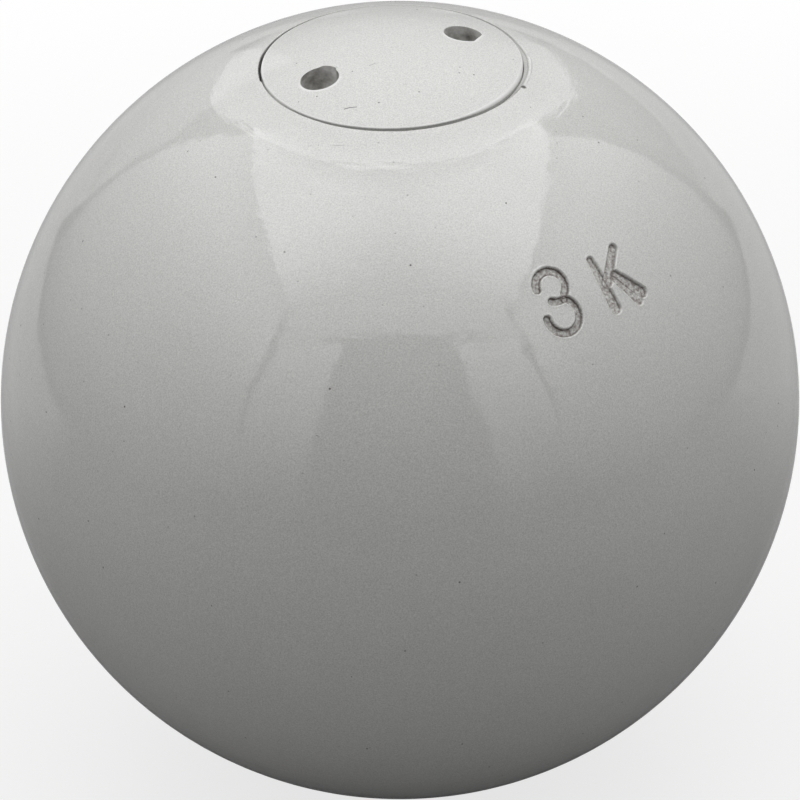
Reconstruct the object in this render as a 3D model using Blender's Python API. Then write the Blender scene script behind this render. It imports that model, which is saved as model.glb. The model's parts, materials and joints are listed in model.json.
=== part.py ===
"""A 3 kg turned-iron shot, closed with a screwed plug.

A cast-iron ball is turned round and bored from the top. A chamber through its middle holds a
pack of lead discs between felt pads and wooden spacers, which brings the ball to its weight and
keeps its balance at the centre. A headless threaded plug closes the mouth. Its face is turned
to the ball's own curve, and two blind holes in it take a pin spanner.

The ball's centre is the origin, and the plug is at the top, on +Z.
"""

import math

import bmesh
import bpy

# The ball and its screwed closure, in metres
BALL_DIAMETER = 0.094
THREAD_DIAMETER = 0.030
THREAD_PITCH = 0.002
PLUG_THICKNESS = 0.0134
PLUG_RIM_ROUND = 0.0008
PLUG_LEAD_IN = 0.0010
MOUTH_CHAMFER = 0.00055
THREAD_RELIEF_WIDTH = 0.0030
THREAD_RELIEF_DEPTH = 0.0006

# The spigot under the plug and the washer that it carries
SPIGOT_LENGTH = 0.0024
SPIGOT_CHAMFER = 0.0004
WASHER_THICKNESS = 0.0015
WASHER_WIDTH = 0.0040
WASHER_EDGE = 0.0002
SHOULDER_WIDTH = 0.0019

# The pin spanner's holes in the plug's face
SPANNER_HOLE_DIAMETER = 0.0050
SPANNER_HOLE_SPACING = 0.0195
SPANNER_HOLE_DEPTH = 0.0060
SPANNER_HOLE_CORNER = 0.0004
SPANNER_HOLE_BEARING = math.radians(31.5)

# What fills the chamber
CHAMBER_CORNER = 0.0010
BALLAST_DISCS = 6
BALLAST_THICKNESS = 0.0022
TRIM_DISCS = 4
TRIM_THICKNESS = 0.0008
DISC_EDGE = 0.0003
FELT_THICKNESS = 0.0030
SPACER_CHAMFER = 0.0008

# Clearances
THREAD_GAP = 0.0003
SLIP_GAP = 0.0003
SEAT_GAP = 0.0003

# How finely the round shapes are cut
BALL_STEPS = 72
PACK_STEPS = 36
HOLE_STEPS = 24
ARC_STEP = math.radians(5)
RIM_STEPS = 4
CORNER_STEPS = 2

# An internal metric thread's ridges stand this share of the pitch into the bore
INTERNAL_THREAD_DEPTH = 0.5413

# Radii and heights that follow from the sizes above
BALL_RADIUS = BALL_DIAMETER / 2
PLUG_RADIUS = (THREAD_DIAMETER - THREAD_GAP) / 2
BORE_RADIUS = (THREAD_DIAMETER + THREAD_GAP) / 2
MOUTH_RADIUS = BORE_RADIUS + MOUTH_CHAMFER
RIDGE_RADIUS = THREAD_DIAMETER / 2 - INTERNAL_THREAD_DEPTH * THREAD_PITCH
CHAMBER_RADIUS = RIDGE_RADIUS - SHOULDER_WIDTH
PACK_RADIUS = CHAMBER_RADIUS - SLIP_GAP
WASHER_OUTER_RADIUS = RIDGE_RADIUS - SLIP_GAP
WASHER_INNER_RADIUS = WASHER_OUTER_RADIUS - WASHER_WIDTH
SPIGOT_RADIUS = WASHER_INNER_RADIUS - SLIP_GAP

PLUG_UNDERSIDE = BALL_RADIUS - PLUG_THICKNESS
WASHER_TOP = PLUG_UNDERSIDE - SEAT_GAP
WASHER_BOTTOM = WASHER_TOP - WASHER_THICKNESS
SHOULDER_HEIGHT = WASHER_BOTTOM - SEAT_GAP
SPIGOT_TIP = PLUG_UNDERSIDE - SPIGOT_LENGTH
CHAMBER_FLOOR = -SPIGOT_TIP


def clear_scene():
    for obj in list(bpy.data.objects):
        bpy.data.objects.remove(obj, do_unlink=True)


def material(name, colour, roughness, metallic=0.0):
    """A Principled material in one colour."""
    made = bpy.data.materials.new(name)
    made.use_nodes = True
    shader = made.node_tree.nodes["Principled BSDF"]
    shader.inputs["Base Color"].default_value = (*colour, 1.0)
    shader.inputs["Roughness"].default_value = roughness
    shader.inputs["Metallic"].default_value = metallic
    return made


def arc(centre, radius, start, end, steps):
    """Points (radius, height) round a centre. Angles run down from straight up."""
    points = []
    for i in range(steps + 1):
        angle = start + (end - start) * i / steps
        across = centre[0] + radius * math.sin(angle)
        height = centre[1] + radius * math.cos(angle)
        points.append((across, height))
    return points


def ball_arc(start, end):
    """Part of the ball's own outline, from the top (0) towards the bottom (pi)."""
    steps = max(1, round(abs(end - start) / ARC_STEP))
    return arc((0.0, 0.0), BALL_RADIUS, start, end, steps)


def turned(name, outline, finish, steps, origin_height=0.0, ring=False):
    """A piece turned about Z from points (radius, height).

    A solid piece's outline runs from axis to axis. A ring's is a closed loop.
    """
    shape = bmesh.new()
    corners = [shape.verts.new((across, 0.0, height - origin_height)) for across, height in outline]
    edges = [shape.edges.new(pair) for pair in zip(corners, corners[1:])]
    if ring:
        edges.append(shape.edges.new((corners[-1], corners[0])))
    bmesh.ops.spin(
        shape,
        geom=corners + edges,
        cent=(0.0, 0.0, 0.0),
        axis=(0.0, 0.0, 1.0),
        angle=2 * math.pi,
        steps=steps,
        use_merge=True,
    )
    bmesh.ops.remove_doubles(shape, verts=shape.verts, dist=0.000001)
    bmesh.ops.recalc_face_normals(shape, faces=shape.faces)
    mesh = bpy.data.meshes.new(name)
    shape.to_mesh(mesh)
    shape.free()
    mesh.shade_smooth()
    mesh.set_sharp_from_angle(angle=math.radians(30))
    mesh.materials.append(finish)
    piece = bpy.data.objects.new(name, mesh)
    piece.location.z = origin_height
    bpy.context.collection.objects.link(piece)
    return piece


def iron_shell(finish):
    """The ball itself: chamber, washer shoulder, thread relief, threaded mouth and outside."""
    relief_radius = BORE_RADIUS + THREAD_RELIEF_DEPTH
    relief_top = SHOULDER_HEIGHT + THREAD_RELIEF_WIDTH
    mouth_height = math.sqrt(BALL_RADIUS**2 - MOUTH_RADIUS**2)
    mouth_angle = math.asin(MOUTH_RADIUS / BALL_RADIUS)
    floor_corner = (CHAMBER_RADIUS - CHAMBER_CORNER, CHAMBER_FLOOR + CHAMBER_CORNER)
    outline = [(0.0, CHAMBER_FLOOR)]
    outline += arc(floor_corner, CHAMBER_CORNER, math.pi, math.pi / 2, CORNER_STEPS)
    outline += [
        (CHAMBER_RADIUS, SHOULDER_HEIGHT),
        (relief_radius, SHOULDER_HEIGHT),
        (relief_radius, relief_top - THREAD_RELIEF_DEPTH),
        (BORE_RADIUS, relief_top),
        (BORE_RADIUS, mouth_height - MOUTH_CHAMFER),
    ]
    outline += ball_arc(mouth_angle, math.pi / 2)
    outline += ball_arc(math.pi / 2, math.pi)[1:]
    outline[-1] = (0.0, -BALL_RADIUS)
    return turned("iron_shell", outline, finish, BALL_STEPS)


def spanner_hole(number, bearing):
    """A cutter for one blind hole: a flat floor with its corner broken, and straight walls."""
    radius = SPANNER_HOLE_DIAMETER / 2
    reach = SPANNER_HOLE_SPACING / 2
    face_height = math.sqrt(BALL_RADIUS**2 - reach**2)
    floor = face_height - SPANNER_HOLE_DEPTH
    outline = [
        (0.0, BALL_RADIUS + SPANNER_HOLE_DEPTH),
        (radius, BALL_RADIUS + SPANNER_HOLE_DEPTH),
        (radius, floor + SPANNER_HOLE_CORNER),
        (radius - SPANNER_HOLE_CORNER, floor),
        (0.0, floor),
    ]
    cutter = turned(f"spanner_hole_{number}", outline, None, HOLE_STEPS)
    cutter.location = (reach * math.cos(bearing), reach * math.sin(bearing), 0.0)
    cutter.hide_render = True
    cutter.display_type = "WIRE"
    return cutter


def filling_plug(finish):
    """The headless plug: domed face, rounded rim, threaded side drawn plain, and spigot."""
    bend_radius = PLUG_RADIUS - PLUG_RIM_ROUND
    bend_height = math.sqrt((BALL_RADIUS - PLUG_RIM_ROUND) ** 2 - bend_radius**2)
    dome_edge = math.atan2(bend_radius, bend_height)
    outline = ball_arc(0.0, dome_edge)
    outline += arc((bend_radius, bend_height), PLUG_RIM_ROUND, dome_edge, math.pi / 2, RIM_STEPS)[1:]
    outline += [
        (PLUG_RADIUS, PLUG_UNDERSIDE + PLUG_LEAD_IN),
        (PLUG_RADIUS - PLUG_LEAD_IN, PLUG_UNDERSIDE),
        (SPIGOT_RADIUS, PLUG_UNDERSIDE),
        (SPIGOT_RADIUS, SPIGOT_TIP + SPIGOT_CHAMFER),
        (SPIGOT_RADIUS - SPIGOT_CHAMFER, SPIGOT_TIP),
        (0.0, SPIGOT_TIP),
    ]
    plug = turned("filling_plug", outline, finish, BALL_STEPS, origin_height=PLUG_UNDERSIDE)
    for number, bearing in enumerate((SPANNER_HOLE_BEARING, SPANNER_HOLE_BEARING + math.pi), 1):
        cut = plug.modifiers.new(f"spanner hole {number}", "BOOLEAN")
        cut.operation = "DIFFERENCE"
        cut.solver = "EXACT"
        cut.object = spanner_hole(number, bearing)
    return plug


def sealing_washer(finish):
    """The flat ring that the plug squeezes against the shell's shoulder."""
    inner, outer = WASHER_INNER_RADIUS, WASHER_OUTER_RADIUS
    outline = [
        (inner, WASHER_BOTTOM),
        (inner, WASHER_TOP),
        (outer - WASHER_EDGE, WASHER_TOP),
        (outer, WASHER_TOP - WASHER_EDGE),
        (outer, WASHER_BOTTOM + WASHER_EDGE),
        (outer - WASHER_EDGE, WASHER_BOTTOM),
    ]
    return turned("sealing_washer", outline, finish, PACK_STEPS, WASHER_BOTTOM, ring=True)


def pack_disc(name, bottom, top, edge, finish):
    """A round piece that slips into the chamber, with its edges broken."""
    outline = [
        (0.0, top),
        (PACK_RADIUS - edge, top),
        (PACK_RADIUS, top - edge),
        (PACK_RADIUS, bottom + edge),
        (PACK_RADIUS - edge, bottom),
        (0.0, bottom),
    ]
    return turned(name, outline, finish, PACK_STEPS, origin_height=bottom)


def lead_pack(finish):
    """The ballast discs with the thin trim discs on top, centred on the ball. Gives its half height."""
    thicknesses = [BALLAST_THICKNESS] * BALLAST_DISCS + [TRIM_THICKNESS] * TRIM_DISCS
    names = [f"ballast_disc_{i + 1}" for i in range(BALLAST_DISCS)]
    names += [f"trim_disc_{i + 1}" for i in range(TRIM_DISCS)]
    half_height = (sum(thicknesses) + SEAT_GAP * (len(thicknesses) - 1)) / 2
    bottom = -half_height
    for name, thickness in zip(names, thicknesses):
        pack_disc(name, bottom, bottom + thickness, min(DISC_EDGE, thickness / 4), finish)
        bottom += thickness + SEAT_GAP
    return half_height


def packing(half_height, felt, wood):
    """A felt pad and a wooden spacer above the lead, and the same below it."""
    felt_near = half_height + SEAT_GAP
    felt_far = felt_near + FELT_THICKNESS
    wood_near = felt_far + SEAT_GAP
    wood_far = SPIGOT_TIP - SEAT_GAP
    felt_edge = FELT_THICKNESS / 6
    pack_disc("upper_felt_pad", felt_near, felt_far, felt_edge, felt)
    pack_disc("lower_felt_pad", -felt_far, -felt_near, felt_edge, felt)
    pack_disc("upper_wood_spacer", wood_near, wood_far, SPACER_CHAMFER, wood)
    pack_disc("lower_wood_spacer", -wood_far, -wood_near, SPACER_CHAMFER, wood)


def build():
    clear_scene()
    enamel = material("white_enamel", (0.72, 0.72, 0.70), 0.25)
    fibre = material("red_fibre", (0.30, 0.07, 0.04), 0.6)
    lead = material("dull_lead", (0.18, 0.19, 0.20), 0.55, 0.9)
    felt = material("grey_felt", (0.22, 0.21, 0.20), 0.95)
    wood = material("beech", (0.52, 0.34, 0.19), 0.7)
    iron_shell(enamel)
    filling_plug(enamel)
    sealing_washer(fibre)
    packing(lead_pack(lead), felt, wood)


build()
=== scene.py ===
"""The looks of an enamelled iron shot for throwing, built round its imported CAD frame.

Everything is in metres. The ball's centre is the origin, the screwed plug is at the top on +Z,
and the photograph looks from -Y and a little above.
"""

import json
import math

import bmesh
import bpy
import numpy as np
from bpy.props import FloatProperty, FloatVectorProperty, IntProperty, PointerProperty
from mathutils import Matrix, Vector, geometry, noise


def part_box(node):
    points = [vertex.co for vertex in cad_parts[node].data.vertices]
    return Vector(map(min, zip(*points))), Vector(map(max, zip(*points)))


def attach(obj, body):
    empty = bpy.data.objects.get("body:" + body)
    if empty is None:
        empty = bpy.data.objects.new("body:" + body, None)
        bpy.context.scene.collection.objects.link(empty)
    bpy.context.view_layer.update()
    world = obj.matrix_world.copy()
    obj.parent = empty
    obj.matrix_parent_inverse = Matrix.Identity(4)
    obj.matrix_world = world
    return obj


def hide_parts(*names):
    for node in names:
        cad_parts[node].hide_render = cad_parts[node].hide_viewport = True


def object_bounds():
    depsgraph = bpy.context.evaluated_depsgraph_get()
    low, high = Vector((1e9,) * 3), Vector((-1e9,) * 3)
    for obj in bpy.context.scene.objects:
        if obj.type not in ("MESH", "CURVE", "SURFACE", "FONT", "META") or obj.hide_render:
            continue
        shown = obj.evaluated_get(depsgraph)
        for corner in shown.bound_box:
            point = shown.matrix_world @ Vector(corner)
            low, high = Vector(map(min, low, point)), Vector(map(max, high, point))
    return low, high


bl_info = {
    "name": "Screwed-plug shot",
    "version": (1, 0, 0),
    "blender": (4, 5, 0),
    "location": "3D View > Sidebar > Shot",
    "description": "Builds an enamelled iron shot with its stamp, screwed plug and ballast",
    "category": "Add Mesh",
}

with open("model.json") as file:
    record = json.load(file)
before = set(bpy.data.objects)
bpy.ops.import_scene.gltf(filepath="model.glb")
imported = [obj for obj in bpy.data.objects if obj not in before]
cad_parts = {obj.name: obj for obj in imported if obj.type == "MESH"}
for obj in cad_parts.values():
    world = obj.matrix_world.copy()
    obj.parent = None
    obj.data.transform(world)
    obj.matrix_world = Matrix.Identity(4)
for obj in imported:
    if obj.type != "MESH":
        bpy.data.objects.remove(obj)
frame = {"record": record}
CAD_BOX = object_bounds()
SHELL_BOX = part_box("iron_shell")
PLUG_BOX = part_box("filling_plug")
WASHER_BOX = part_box("sealing_washer")
SLOT_COLOURS = {entry["slot"]: entry["base_color"] for entry in frame["record"]["materials"]}

MM = 0.001
BALLAST_NAMES = [f"ballast_disc_{i}" for i in range(1, 7)]
TRIM_NAMES = [f"trim_disc_{i}" for i in range(1, 5)]
FELT_NAMES = ["upper_felt_pad", "lower_felt_pad"]
SPACER_NAMES = ["upper_wood_spacer", "lower_wood_spacer"]

# Heights where the ridges of the ball's thread and of the plug's thread end, and how far their feet
# are sunk in the wall.
BALL_THREAD_TOP = 0.0428
PLUG_THREAD_TOP = 0.0426
THREAD_SUNK = 0.04 * MM

# The stamp's edges in millimetres: how far the outlines wander, where the metal thrown up beside a
# stroke is highest and how wide it is, and how wide the painted shade at a wall's foot is.
STAMP_WANDER = 0.045
STAMP_LIP_MIDDLE = 0.09
STAMP_LIP_WIDTH = 0.10
STAMP_FOOT_SHADE_WIDTH = 0.16

# Scale of the noise that roughens the turned pieces of the pack.
WOBBLE_SCALE = 420.0

# The light tent and its floor. The rear panel's rim crosses the ceiling in a curve, which comes
# furthest forward at x = 0.
CEILING_HEIGHT = 0.390
CEILING_X = (-0.245, 0.280)
CEILING_Y = (-0.245, 0.290)
CEILING_REAR = 0.036
CEILING_CURVE = 4.3
REAR_REACH = 0.45
TABLE_HEIGHT = -0.0465
FLOOR_REACH = 4.0

# Colours of specks in the enamel, and of the two ends of the tone that edges carry: a painted
# highlight and a painted shade.
SPECK_COLOUR = (0.06, 0.055, 0.05)
PAINTED_HIGHLIGHT = (0.93, 0.93, 0.92)
PAINTED_SHADE = (0.045, 0.043, 0.04)

# Places of small marks in the enamel, in millimetres: where, and how far across. The plug's marks
# are given by x and y, because its face gives their height.
PLUG_SPECKS = [
    ((-8.65, -8.56), 0.17),
    ((-10.77, -8.89), 0.14),
    ((-4.54, -4.68), 0.16),
]
PLUG_HAIRLINES = [
    ((-5.53, -11.50), (-4.90, -11.36), 0.12),
    ((-4.90, -11.36), (-4.16, -11.38), 0.11),
    ((-2.60, -3.80), (-1.90, -3.40), 0.06),
]
BALL_SPECKS = [
    ((-8.56, -16.35, 43.22), 0.10),
    ((15.68, -8.82, 43.42), 0.14),
    ((15.00, -5.36, 44.22), 0.62),
    ((-4.40, -41.30, -22.00), 0.12),
]
BALL_HAIRLINES = [
    ((-9.50, -41.50, 19.90), (-8.40, -41.80, 19.60), 0.05),
    ((-9.74, -16.16, 43.05), (-6.33, -16.88, 43.41), 0.035),
    ((-6.33, -16.88, 43.41), (-3.04, -17.28, 43.60), 0.035),
]


# Properties


def length(title, about, value):
    return FloatProperty(name=title, description=about, default=value, unit="LENGTH", precision=5)


def degrees(title, about, value):
    radians = math.radians(value)
    return FloatProperty(name=title, description=about, default=radians, subtype="ANGLE")


def share(title, about, value):
    return FloatProperty(name=title, description=about, default=value, min=0.0, max=1.0, subtype="FACTOR")


def amount(title, about, value):
    return FloatProperty(name=title, description=about, default=value, min=0.0)


def pair(title, about, values):
    return FloatVectorProperty(name=title, description=about, default=values, size=2, min=0.0)


def colour(title, about, value):
    return FloatVectorProperty(
        name=title, description=about, default=tuple(value), size=3, min=0.0, max=1.0, subtype="COLOR"
    )


class BallSizes(bpy.types.PropertyGroup):
    """The iron ball and the bore in its top."""

    radius: length("Ball radius", "Outside of the enamelled ball", SHELL_BOX[1].x)
    groove_inner: length("Groove's inner wall", "Enamel that fills the groove beside the plug", 0.01514)
    lip_round: length("Lip rounding", "Rounding of the enamel at the mouth's edge", 0.00014)
    lip_depth: length("Lip depth", "How far down the enamel covers the mouth's wall", 0.0015)
    bead_height: length("Bead height", "Height of the bead of enamel on the groove's right", 0.00007)
    bore_radius: length("Bore radius", "Wall between the ridges of the internal thread", 0.01515)
    ridge_radius: length("Ridge radius", "Crest of the internal thread", 0.01395)
    relief_radius: length("Relief radius", "Groove under the thread", 0.01575)
    relief_top: length("Relief top", "Height where the thread begins", 0.0345)
    shoulder_height: length("Shoulder height", "Seat of the sealing washer", 0.0315)
    chamber_radius: length("Chamber radius", "Bore that holds the lead pack", 0.012017)
    chamber_floor: length("Chamber floor", "Lowest point of the chamber", -0.0312)
    chamber_corner: length("Chamber corner", "Rounding between the chamber's wall and floor", 0.001)


class PlugSizes(bpy.types.PropertyGroup):
    """The headless screwed plug."""

    face_radius: length("Face curve", "Radius of the plug's domed face", 0.050)
    rim_radius: length("Rim radius", "Outside of the enamelled rim", 0.01510)
    rim_round: length("Rim rounding", "Rounding of the enamel at the plug's rim", 0.00020)
    rim_depth: length("Rim depth", "Height of the plain rim over the thread", 0.0013)
    core_radius: length("Core radius", "Root of the external thread", 0.01377)
    underside: length("Underside", "Height of the plug's underside", 0.0336)
    spigot_radius: length("Spigot radius", "Spigot that carries the washer", 0.009317)
    spigot_tip: length("Spigot tip", "Lowest point of the plug", PLUG_BOX[0].z)
    hole_radius: length("Hole radius", "Spanner hole inside its enamel", 0.00222)
    hole_depth: length("Hole depth", "Depth of the spanner holes under the face", 0.006)
    hole_spacing: length("Hole spacing", "Distance between the spanner holes", 0.0195)
    hole_bearing: degrees("Hole bearing", "Direction of the holes' line from +X", 31.5)


class ThreadSizes(bpy.types.PropertyGroup):
    """The metric thread between the plug and the ball."""

    pitch: length("Pitch", "Rise of the thread in one turn", 0.002)
    crest_width: length("Crest width", "Flat on top of a ridge", 0.00025)
    root_width: length("Root width", "Width of a ridge at its foot", 0.00142)
    points: IntProperty(name="Points", description="Points along one turn", default=72, min=12)


class StampSizes(bpy.types.PropertyGroup):
    """The weight that is punched into the ball."""

    depth: length("Depth", "Depth of the punched strokes", 0.00042)
    wall: length("Wall", "Width of the strokes' sloping walls", 0.00018)
    lip: length("Lip", "Height of the metal thrown up beside a stroke", 0.00004)
    grit: length("Grit", "Roughness of the strokes' floors", 0.00007)
    three_azimuth: degrees("Figure's azimuth", "Where the figure's middle is", -59.83)
    three_polar: degrees("Figure's polar angle", "Angle of the figure's middle from the top", 49.73)
    letter_azimuth: degrees("Letter's azimuth", "Where the letter's middle is", -46.61)
    letter_polar: degrees("Letter's polar angle", "Angle of the letter's middle from the top", 49.49)
    # How much of the figure's painted shade at the walls' feet the letter has.
    letter_foot_shade: share("Letter's grime", "How much of the figure's grime the letter has", 0.75)


class Finishes(bpy.types.PropertyGroup):
    """Colours and surfaces."""

    enamel: colour("Enamel", "White gloss enamel", SLOT_COLOURS["enamelled_iron"])
    enamel_roughness: share("Enamel roughness", "How soft the reflections in the enamel are", 0.03)
    orange_peel: length("Orange peel", "Depth of the waviness in the enamel", 0.000026)
    turning: length("Turning marks", "Depth of the lathe's marks under the enamel", 0.000014)
    mist: share("Mist", "How much the enamel's tone varies from speck to speck", 0.33)
    stamp_floor: colour("Stamp floor", "Grime on the floors of the punched strokes", (0.29, 0.25, 0.235))
    # The colour of the painted shade at the feet of the strokes' walls.
    stamp_foot_shade: colour("Stamp edges", "Grime at the feet of the strokes' walls", (0.085, 0.064, 0.054))
    # The holes' pale overspray, which their material mottles with painted shade.
    hole: colour("Hole", "Thin overspray and grime in the spanner holes", (0.80, 0.795, 0.78))
    iron: colour("Cast iron", "Bored grey cast iron", (0.25, 0.245, 0.24))
    steel: colour("Steel", "Turned steel of the thread", (0.48, 0.475, 0.46))
    fibre: colour("Fibre", "Vulcanised fibre", SLOT_COLOURS["vulcanised_fibre"])
    lead: colour("Lead", "Dull cast lead", SLOT_COLOURS["lead"])
    felt: colour("Felt", "Pressed wool felt", SLOT_COLOURS["wool_felt"])
    beech: colour("Beech", "Turned beech", SLOT_COLOURS["beech"])


class StudioSetup(bpy.types.PropertyGroup):
    """The camera and the soft boxes."""

    lens: FloatProperty(name="Lens", description="Focal length in millimetres", default=358.9, min=1.0)
    distance: length("Distance", "From the camera to the ball's centre", 0.94)
    elevation: degrees("Elevation", "Height of the camera over the horizon", 30.25)
    roll: degrees("Roll", "Lean of the camera about its own axis", -1.38)
    ceiling: pair("Ceiling", "Brightness of the panel overhead, at its front and its rear", (0.57, 1.98))
    sheen: pair("Ceiling's sheen", "What the gloss finds more on the ceiling", (0.98, 0.94))
    rear_left: pair("Rear left", "Brightness of the corner left of the rear panel", (0.38, 0.38))
    rear_right: pair("Rear right", "Brightness of the corner right of the rear panel", (0.20, 0.10))
    flap: pair("Front flap", "Brightness of the strip over the opening", (0.80, 1.06))
    left: pair("Left wall", "Brightness of the wall on the left, at its foot and its top", (0.09, 1.20))
    right: pair("Right wall", "Brightness of the wall on the right", (0.13, 1.10))
    front_left: pair("Front left", "Brightness of the strip left of the opening", (0.0, 1.10))
    front_right: pair("Front right", "Brightness of the strip right of the opening", (0.0, 1.18))
    rear: pair("Rear panel", "Brightness of the round panel above and behind", (0.0, 1.85))
    table_left: pair("Table left", "Light off the table in front on the left, far and near", (0.0, 0.34))
    table_right: pair("Table right", "Light off the table in front on the right, far and near", (0.0, 0.21))
    sky: amount("Fill", "Brightness of the room outside the tent", 0.0)
    ground: share("Ground", "How pale the table is", 0.30)
    mirrored: share("Mirrored white", "How much of the white background the gloss mirrors", 0.07)
    gleam: share("Gleam", "How much of the white table behind it the gloss mirrors", 0.42)


PROPERTY_GROUPS = {
    "shot_ball": BallSizes,
    "shot_plug": PlugSizes,
    "shot_thread": ThreadSizes,
    "shot_stamp": StampSizes,
    "shot_finish": Finishes,
    "shot_studio": StudioSetup,
}


# Skins that are sewn together from rows of points


def eased(low, high, value):
    """0 below low and 1 above high, with a soft start and stop."""
    part = np.clip((np.asarray(value, float) - low) / (high - low), 0.0, 1.0)
    return part * part * (3.0 - 2.0 * part)


def noise_at(places, scale):
    """Smooth noise at some places, about -1 to 1."""
    return np.array([noise.noise(Vector(place) * scale) for place in places])


def ring_angles(count):
    """Angles of evenly spaced points round a full turn."""
    return -math.pi + 2 * math.pi * np.arange(count) / count


def ring_points(radius, height, angles, centre=(0.0, 0.0)):
    """Points round a vertical axis. The radius and the height may change with the angle."""
    x = centre[0] + radius * np.cos(angles)
    y = centre[1] + radius * np.sin(angles)
    z = np.broadcast_to(height, angles.shape)
    return np.stack([x, y, z], axis=1)


def sphere_points(radius, polar, azimuth):
    """Points on a sphere, at angles from its top and round it."""
    across = radius * np.sin(polar)
    height = radius * np.cos(polar)
    parts = np.broadcast_arrays(across * np.cos(azimuth), across * np.sin(azimuth), height)
    return np.stack(parts, axis=-1)


class Skin:
    """Points and faces of one skin, with a material number for each face."""

    def __init__(self):
        self.points = []
        self.painted_light_tones = []
        self.faces = []
        self.finishes = []
        self.count = 0

    def row(self, points, tone=0.0):
        """Adds points and gives their numbers. A tone below 0 is painted shade, and one above 0 a painted
        highlight.
        """
        points = np.asarray(points, float).reshape(-1, 3)
        self.points.append(points)
        self.painted_light_tones.append(np.broadcast_to(tone, len(points)))
        self.count += len(points)
        return list(range(self.count - len(points), self.count))

    def face(self, corners, finish):
        self.faces.append(corners)
        self.finishes.append(finish)

    def sew(self, one, other, finish=0, closed=True):
        """Joins two rows: with quads if they are as long, else with triangles."""
        if closed:
            one = one + one[:1]
            other = other + other[:1]
        if len(one) == len(other):
            for i in range(len(one) - 1):
                self.face((one[i], one[i + 1], other[i + 1], other[i]), finish)
            return
        last_one = len(one) - 1
        last_other = len(other) - 1
        i = j = 0
        while i < last_one or j < last_other:
            if j == last_other or (i < last_one and (i + 1) * last_other <= (j + 1) * last_one):
                self.face((one[i], one[i + 1], other[j]), finish)
                i += 1
            else:
                self.face((one[i], other[j + 1], other[j]), finish)
                j += 1

    def sew_all(self, rows, finish=0):
        for one, other in zip(rows, rows[1:]):
            self.sew(one, other, finish)

    def close(self, row, tip, finish=0):
        """Closes a row with a fan round one more point."""
        middle = self.row(tip)[0]
        for one, other in zip(row, row[1:] + row[:1]):
            self.face((one, other, middle), finish)

    def all_points(self):
        return np.concatenate(self.points)

    def mesh(self, name, materials):
        """A mesh with its faces turned outwards."""
        made = bpy.data.meshes.new(name)
        made.from_pydata(self.all_points().tolist(), [], self.faces)
        made.polygons.foreach_set("material_index", self.finishes)
        for finish in materials:
            made.materials.append(finish)
        face_outwards(made)
        painted_light_tones = np.concatenate(self.painted_light_tones)
        if painted_light_tones.any():
            made.attributes.new("painted_light_tone", "FLOAT", "POINT").data.foreach_set("value", painted_light_tones)
        return made


def face_outwards(mesh, merged=0.0):
    """Turns a closed mesh's faces outwards and shades it smooth, once close points are merged."""
    turned = bmesh.new()
    turned.from_mesh(mesh)
    if merged:
        bmesh.ops.remove_doubles(turned, verts=turned.verts, dist=merged)
    bmesh.ops.recalc_face_normals(turned, faces=turned.faces)
    turned.to_mesh(mesh)
    turned.free()
    mesh.shade_smooth()


def add_object(name, mesh):
    made = bpy.data.objects.new(name, mesh)
    bpy.context.scene.collection.objects.link(made)
    return made


def hard_edges(mesh, degrees_apart, soft_points=None):
    """Marks sharp edges, but none between two of the soft points."""
    mesh.set_sharp_from_angle(angle=math.radians(degrees_apart))
    if soft_points is None:
        return
    ends = np.zeros(len(mesh.edges) * 2, int)
    mesh.edges.foreach_get("vertices", ends)
    soft = soft_points[ends.reshape(-1, 2)].all(axis=1)
    marks = mesh.attributes["sharp_edge"].data
    sharp = np.zeros(len(mesh.edges), bool)
    marks.foreach_get("value", sharp)
    marks.foreach_set("value", sharp & ~soft)


def true_normals(mesh, known, exact):
    """Gives the known points the exact normals of the round shape that they lie on."""
    corners = np.zeros(len(mesh.loops), int)
    mesh.loops.foreach_get("vertex_index", corners)
    normals = np.zeros(len(mesh.loops) * 3)
    mesh.corner_normals.foreach_get("vector", normals)
    normals = normals.reshape(-1, 3)
    chosen = known[corners]
    normals[chosen] = exact[corners[chosen]]
    mesh.normals_split_custom_set(normals.tolist())


def hold(piece, body, slot, *nodes):
    """Hangs the piece on its body and hides the CAD nodes that it stands for. The slot is not used."""
    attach(piece, body)
    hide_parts(*nodes)


# Materials


def put(tree, kind, inputs=None, **settings):
    """A node with its inputs set, or linked where the value is a socket."""
    made = tree.nodes.new(kind)
    for key, value in settings.items():
        setattr(made, key, value)
    for key, value in (inputs or {}).items():
        if isinstance(value, bpy.types.NodeSocket):
            tree.links.new(value, made.inputs[key])
        else:
            made.inputs[key].default_value = value
    return made


def sums(tree, operation, one, other=0.0):
    """The result of one sum with two values."""
    return put(tree, "ShaderNodeMath", {0: one, 1: other}, operation=operation).outputs[0]


def times(tree, first, *others):
    """Some values multiplied, from the first on."""
    for other in others:
        first = sums(tree, "MULTIPLY", first, other)
    return first


def highest(tree, first, *others):
    """The highest of some values."""
    for other in others:
        first = sums(tree, "MAXIMUM", first, other)
    return first


def vectors(tree, operation, one, other):
    """The node that joins two vectors. A scale is given as a number."""
    inputs = {0: one, "Scale" if operation == "SCALE" else 1: other}
    return put(tree, "ShaderNodeVectorMath", inputs, operation=operation).outputs


def ranged(tree, value, low, high, to_low=0.0, to_high=1.0):
    """A value moved from one range to another, and kept inside it."""
    inputs = {"Value": value, "From Min": low, "From Max": high, "To Min": to_low, "To Max": to_high}
    return put(tree, "ShaderNodeMapRange", inputs).outputs[0]


def grain(tree, place, scale, detail=2.0, roughness=0.5):
    """Noise from 0 to 1."""
    inputs = {"Vector": place, "Scale": scale, "Detail": detail, "Roughness": roughness}
    return put(tree, "ShaderNodeTexNoise", inputs).outputs["Fac"]


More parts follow.
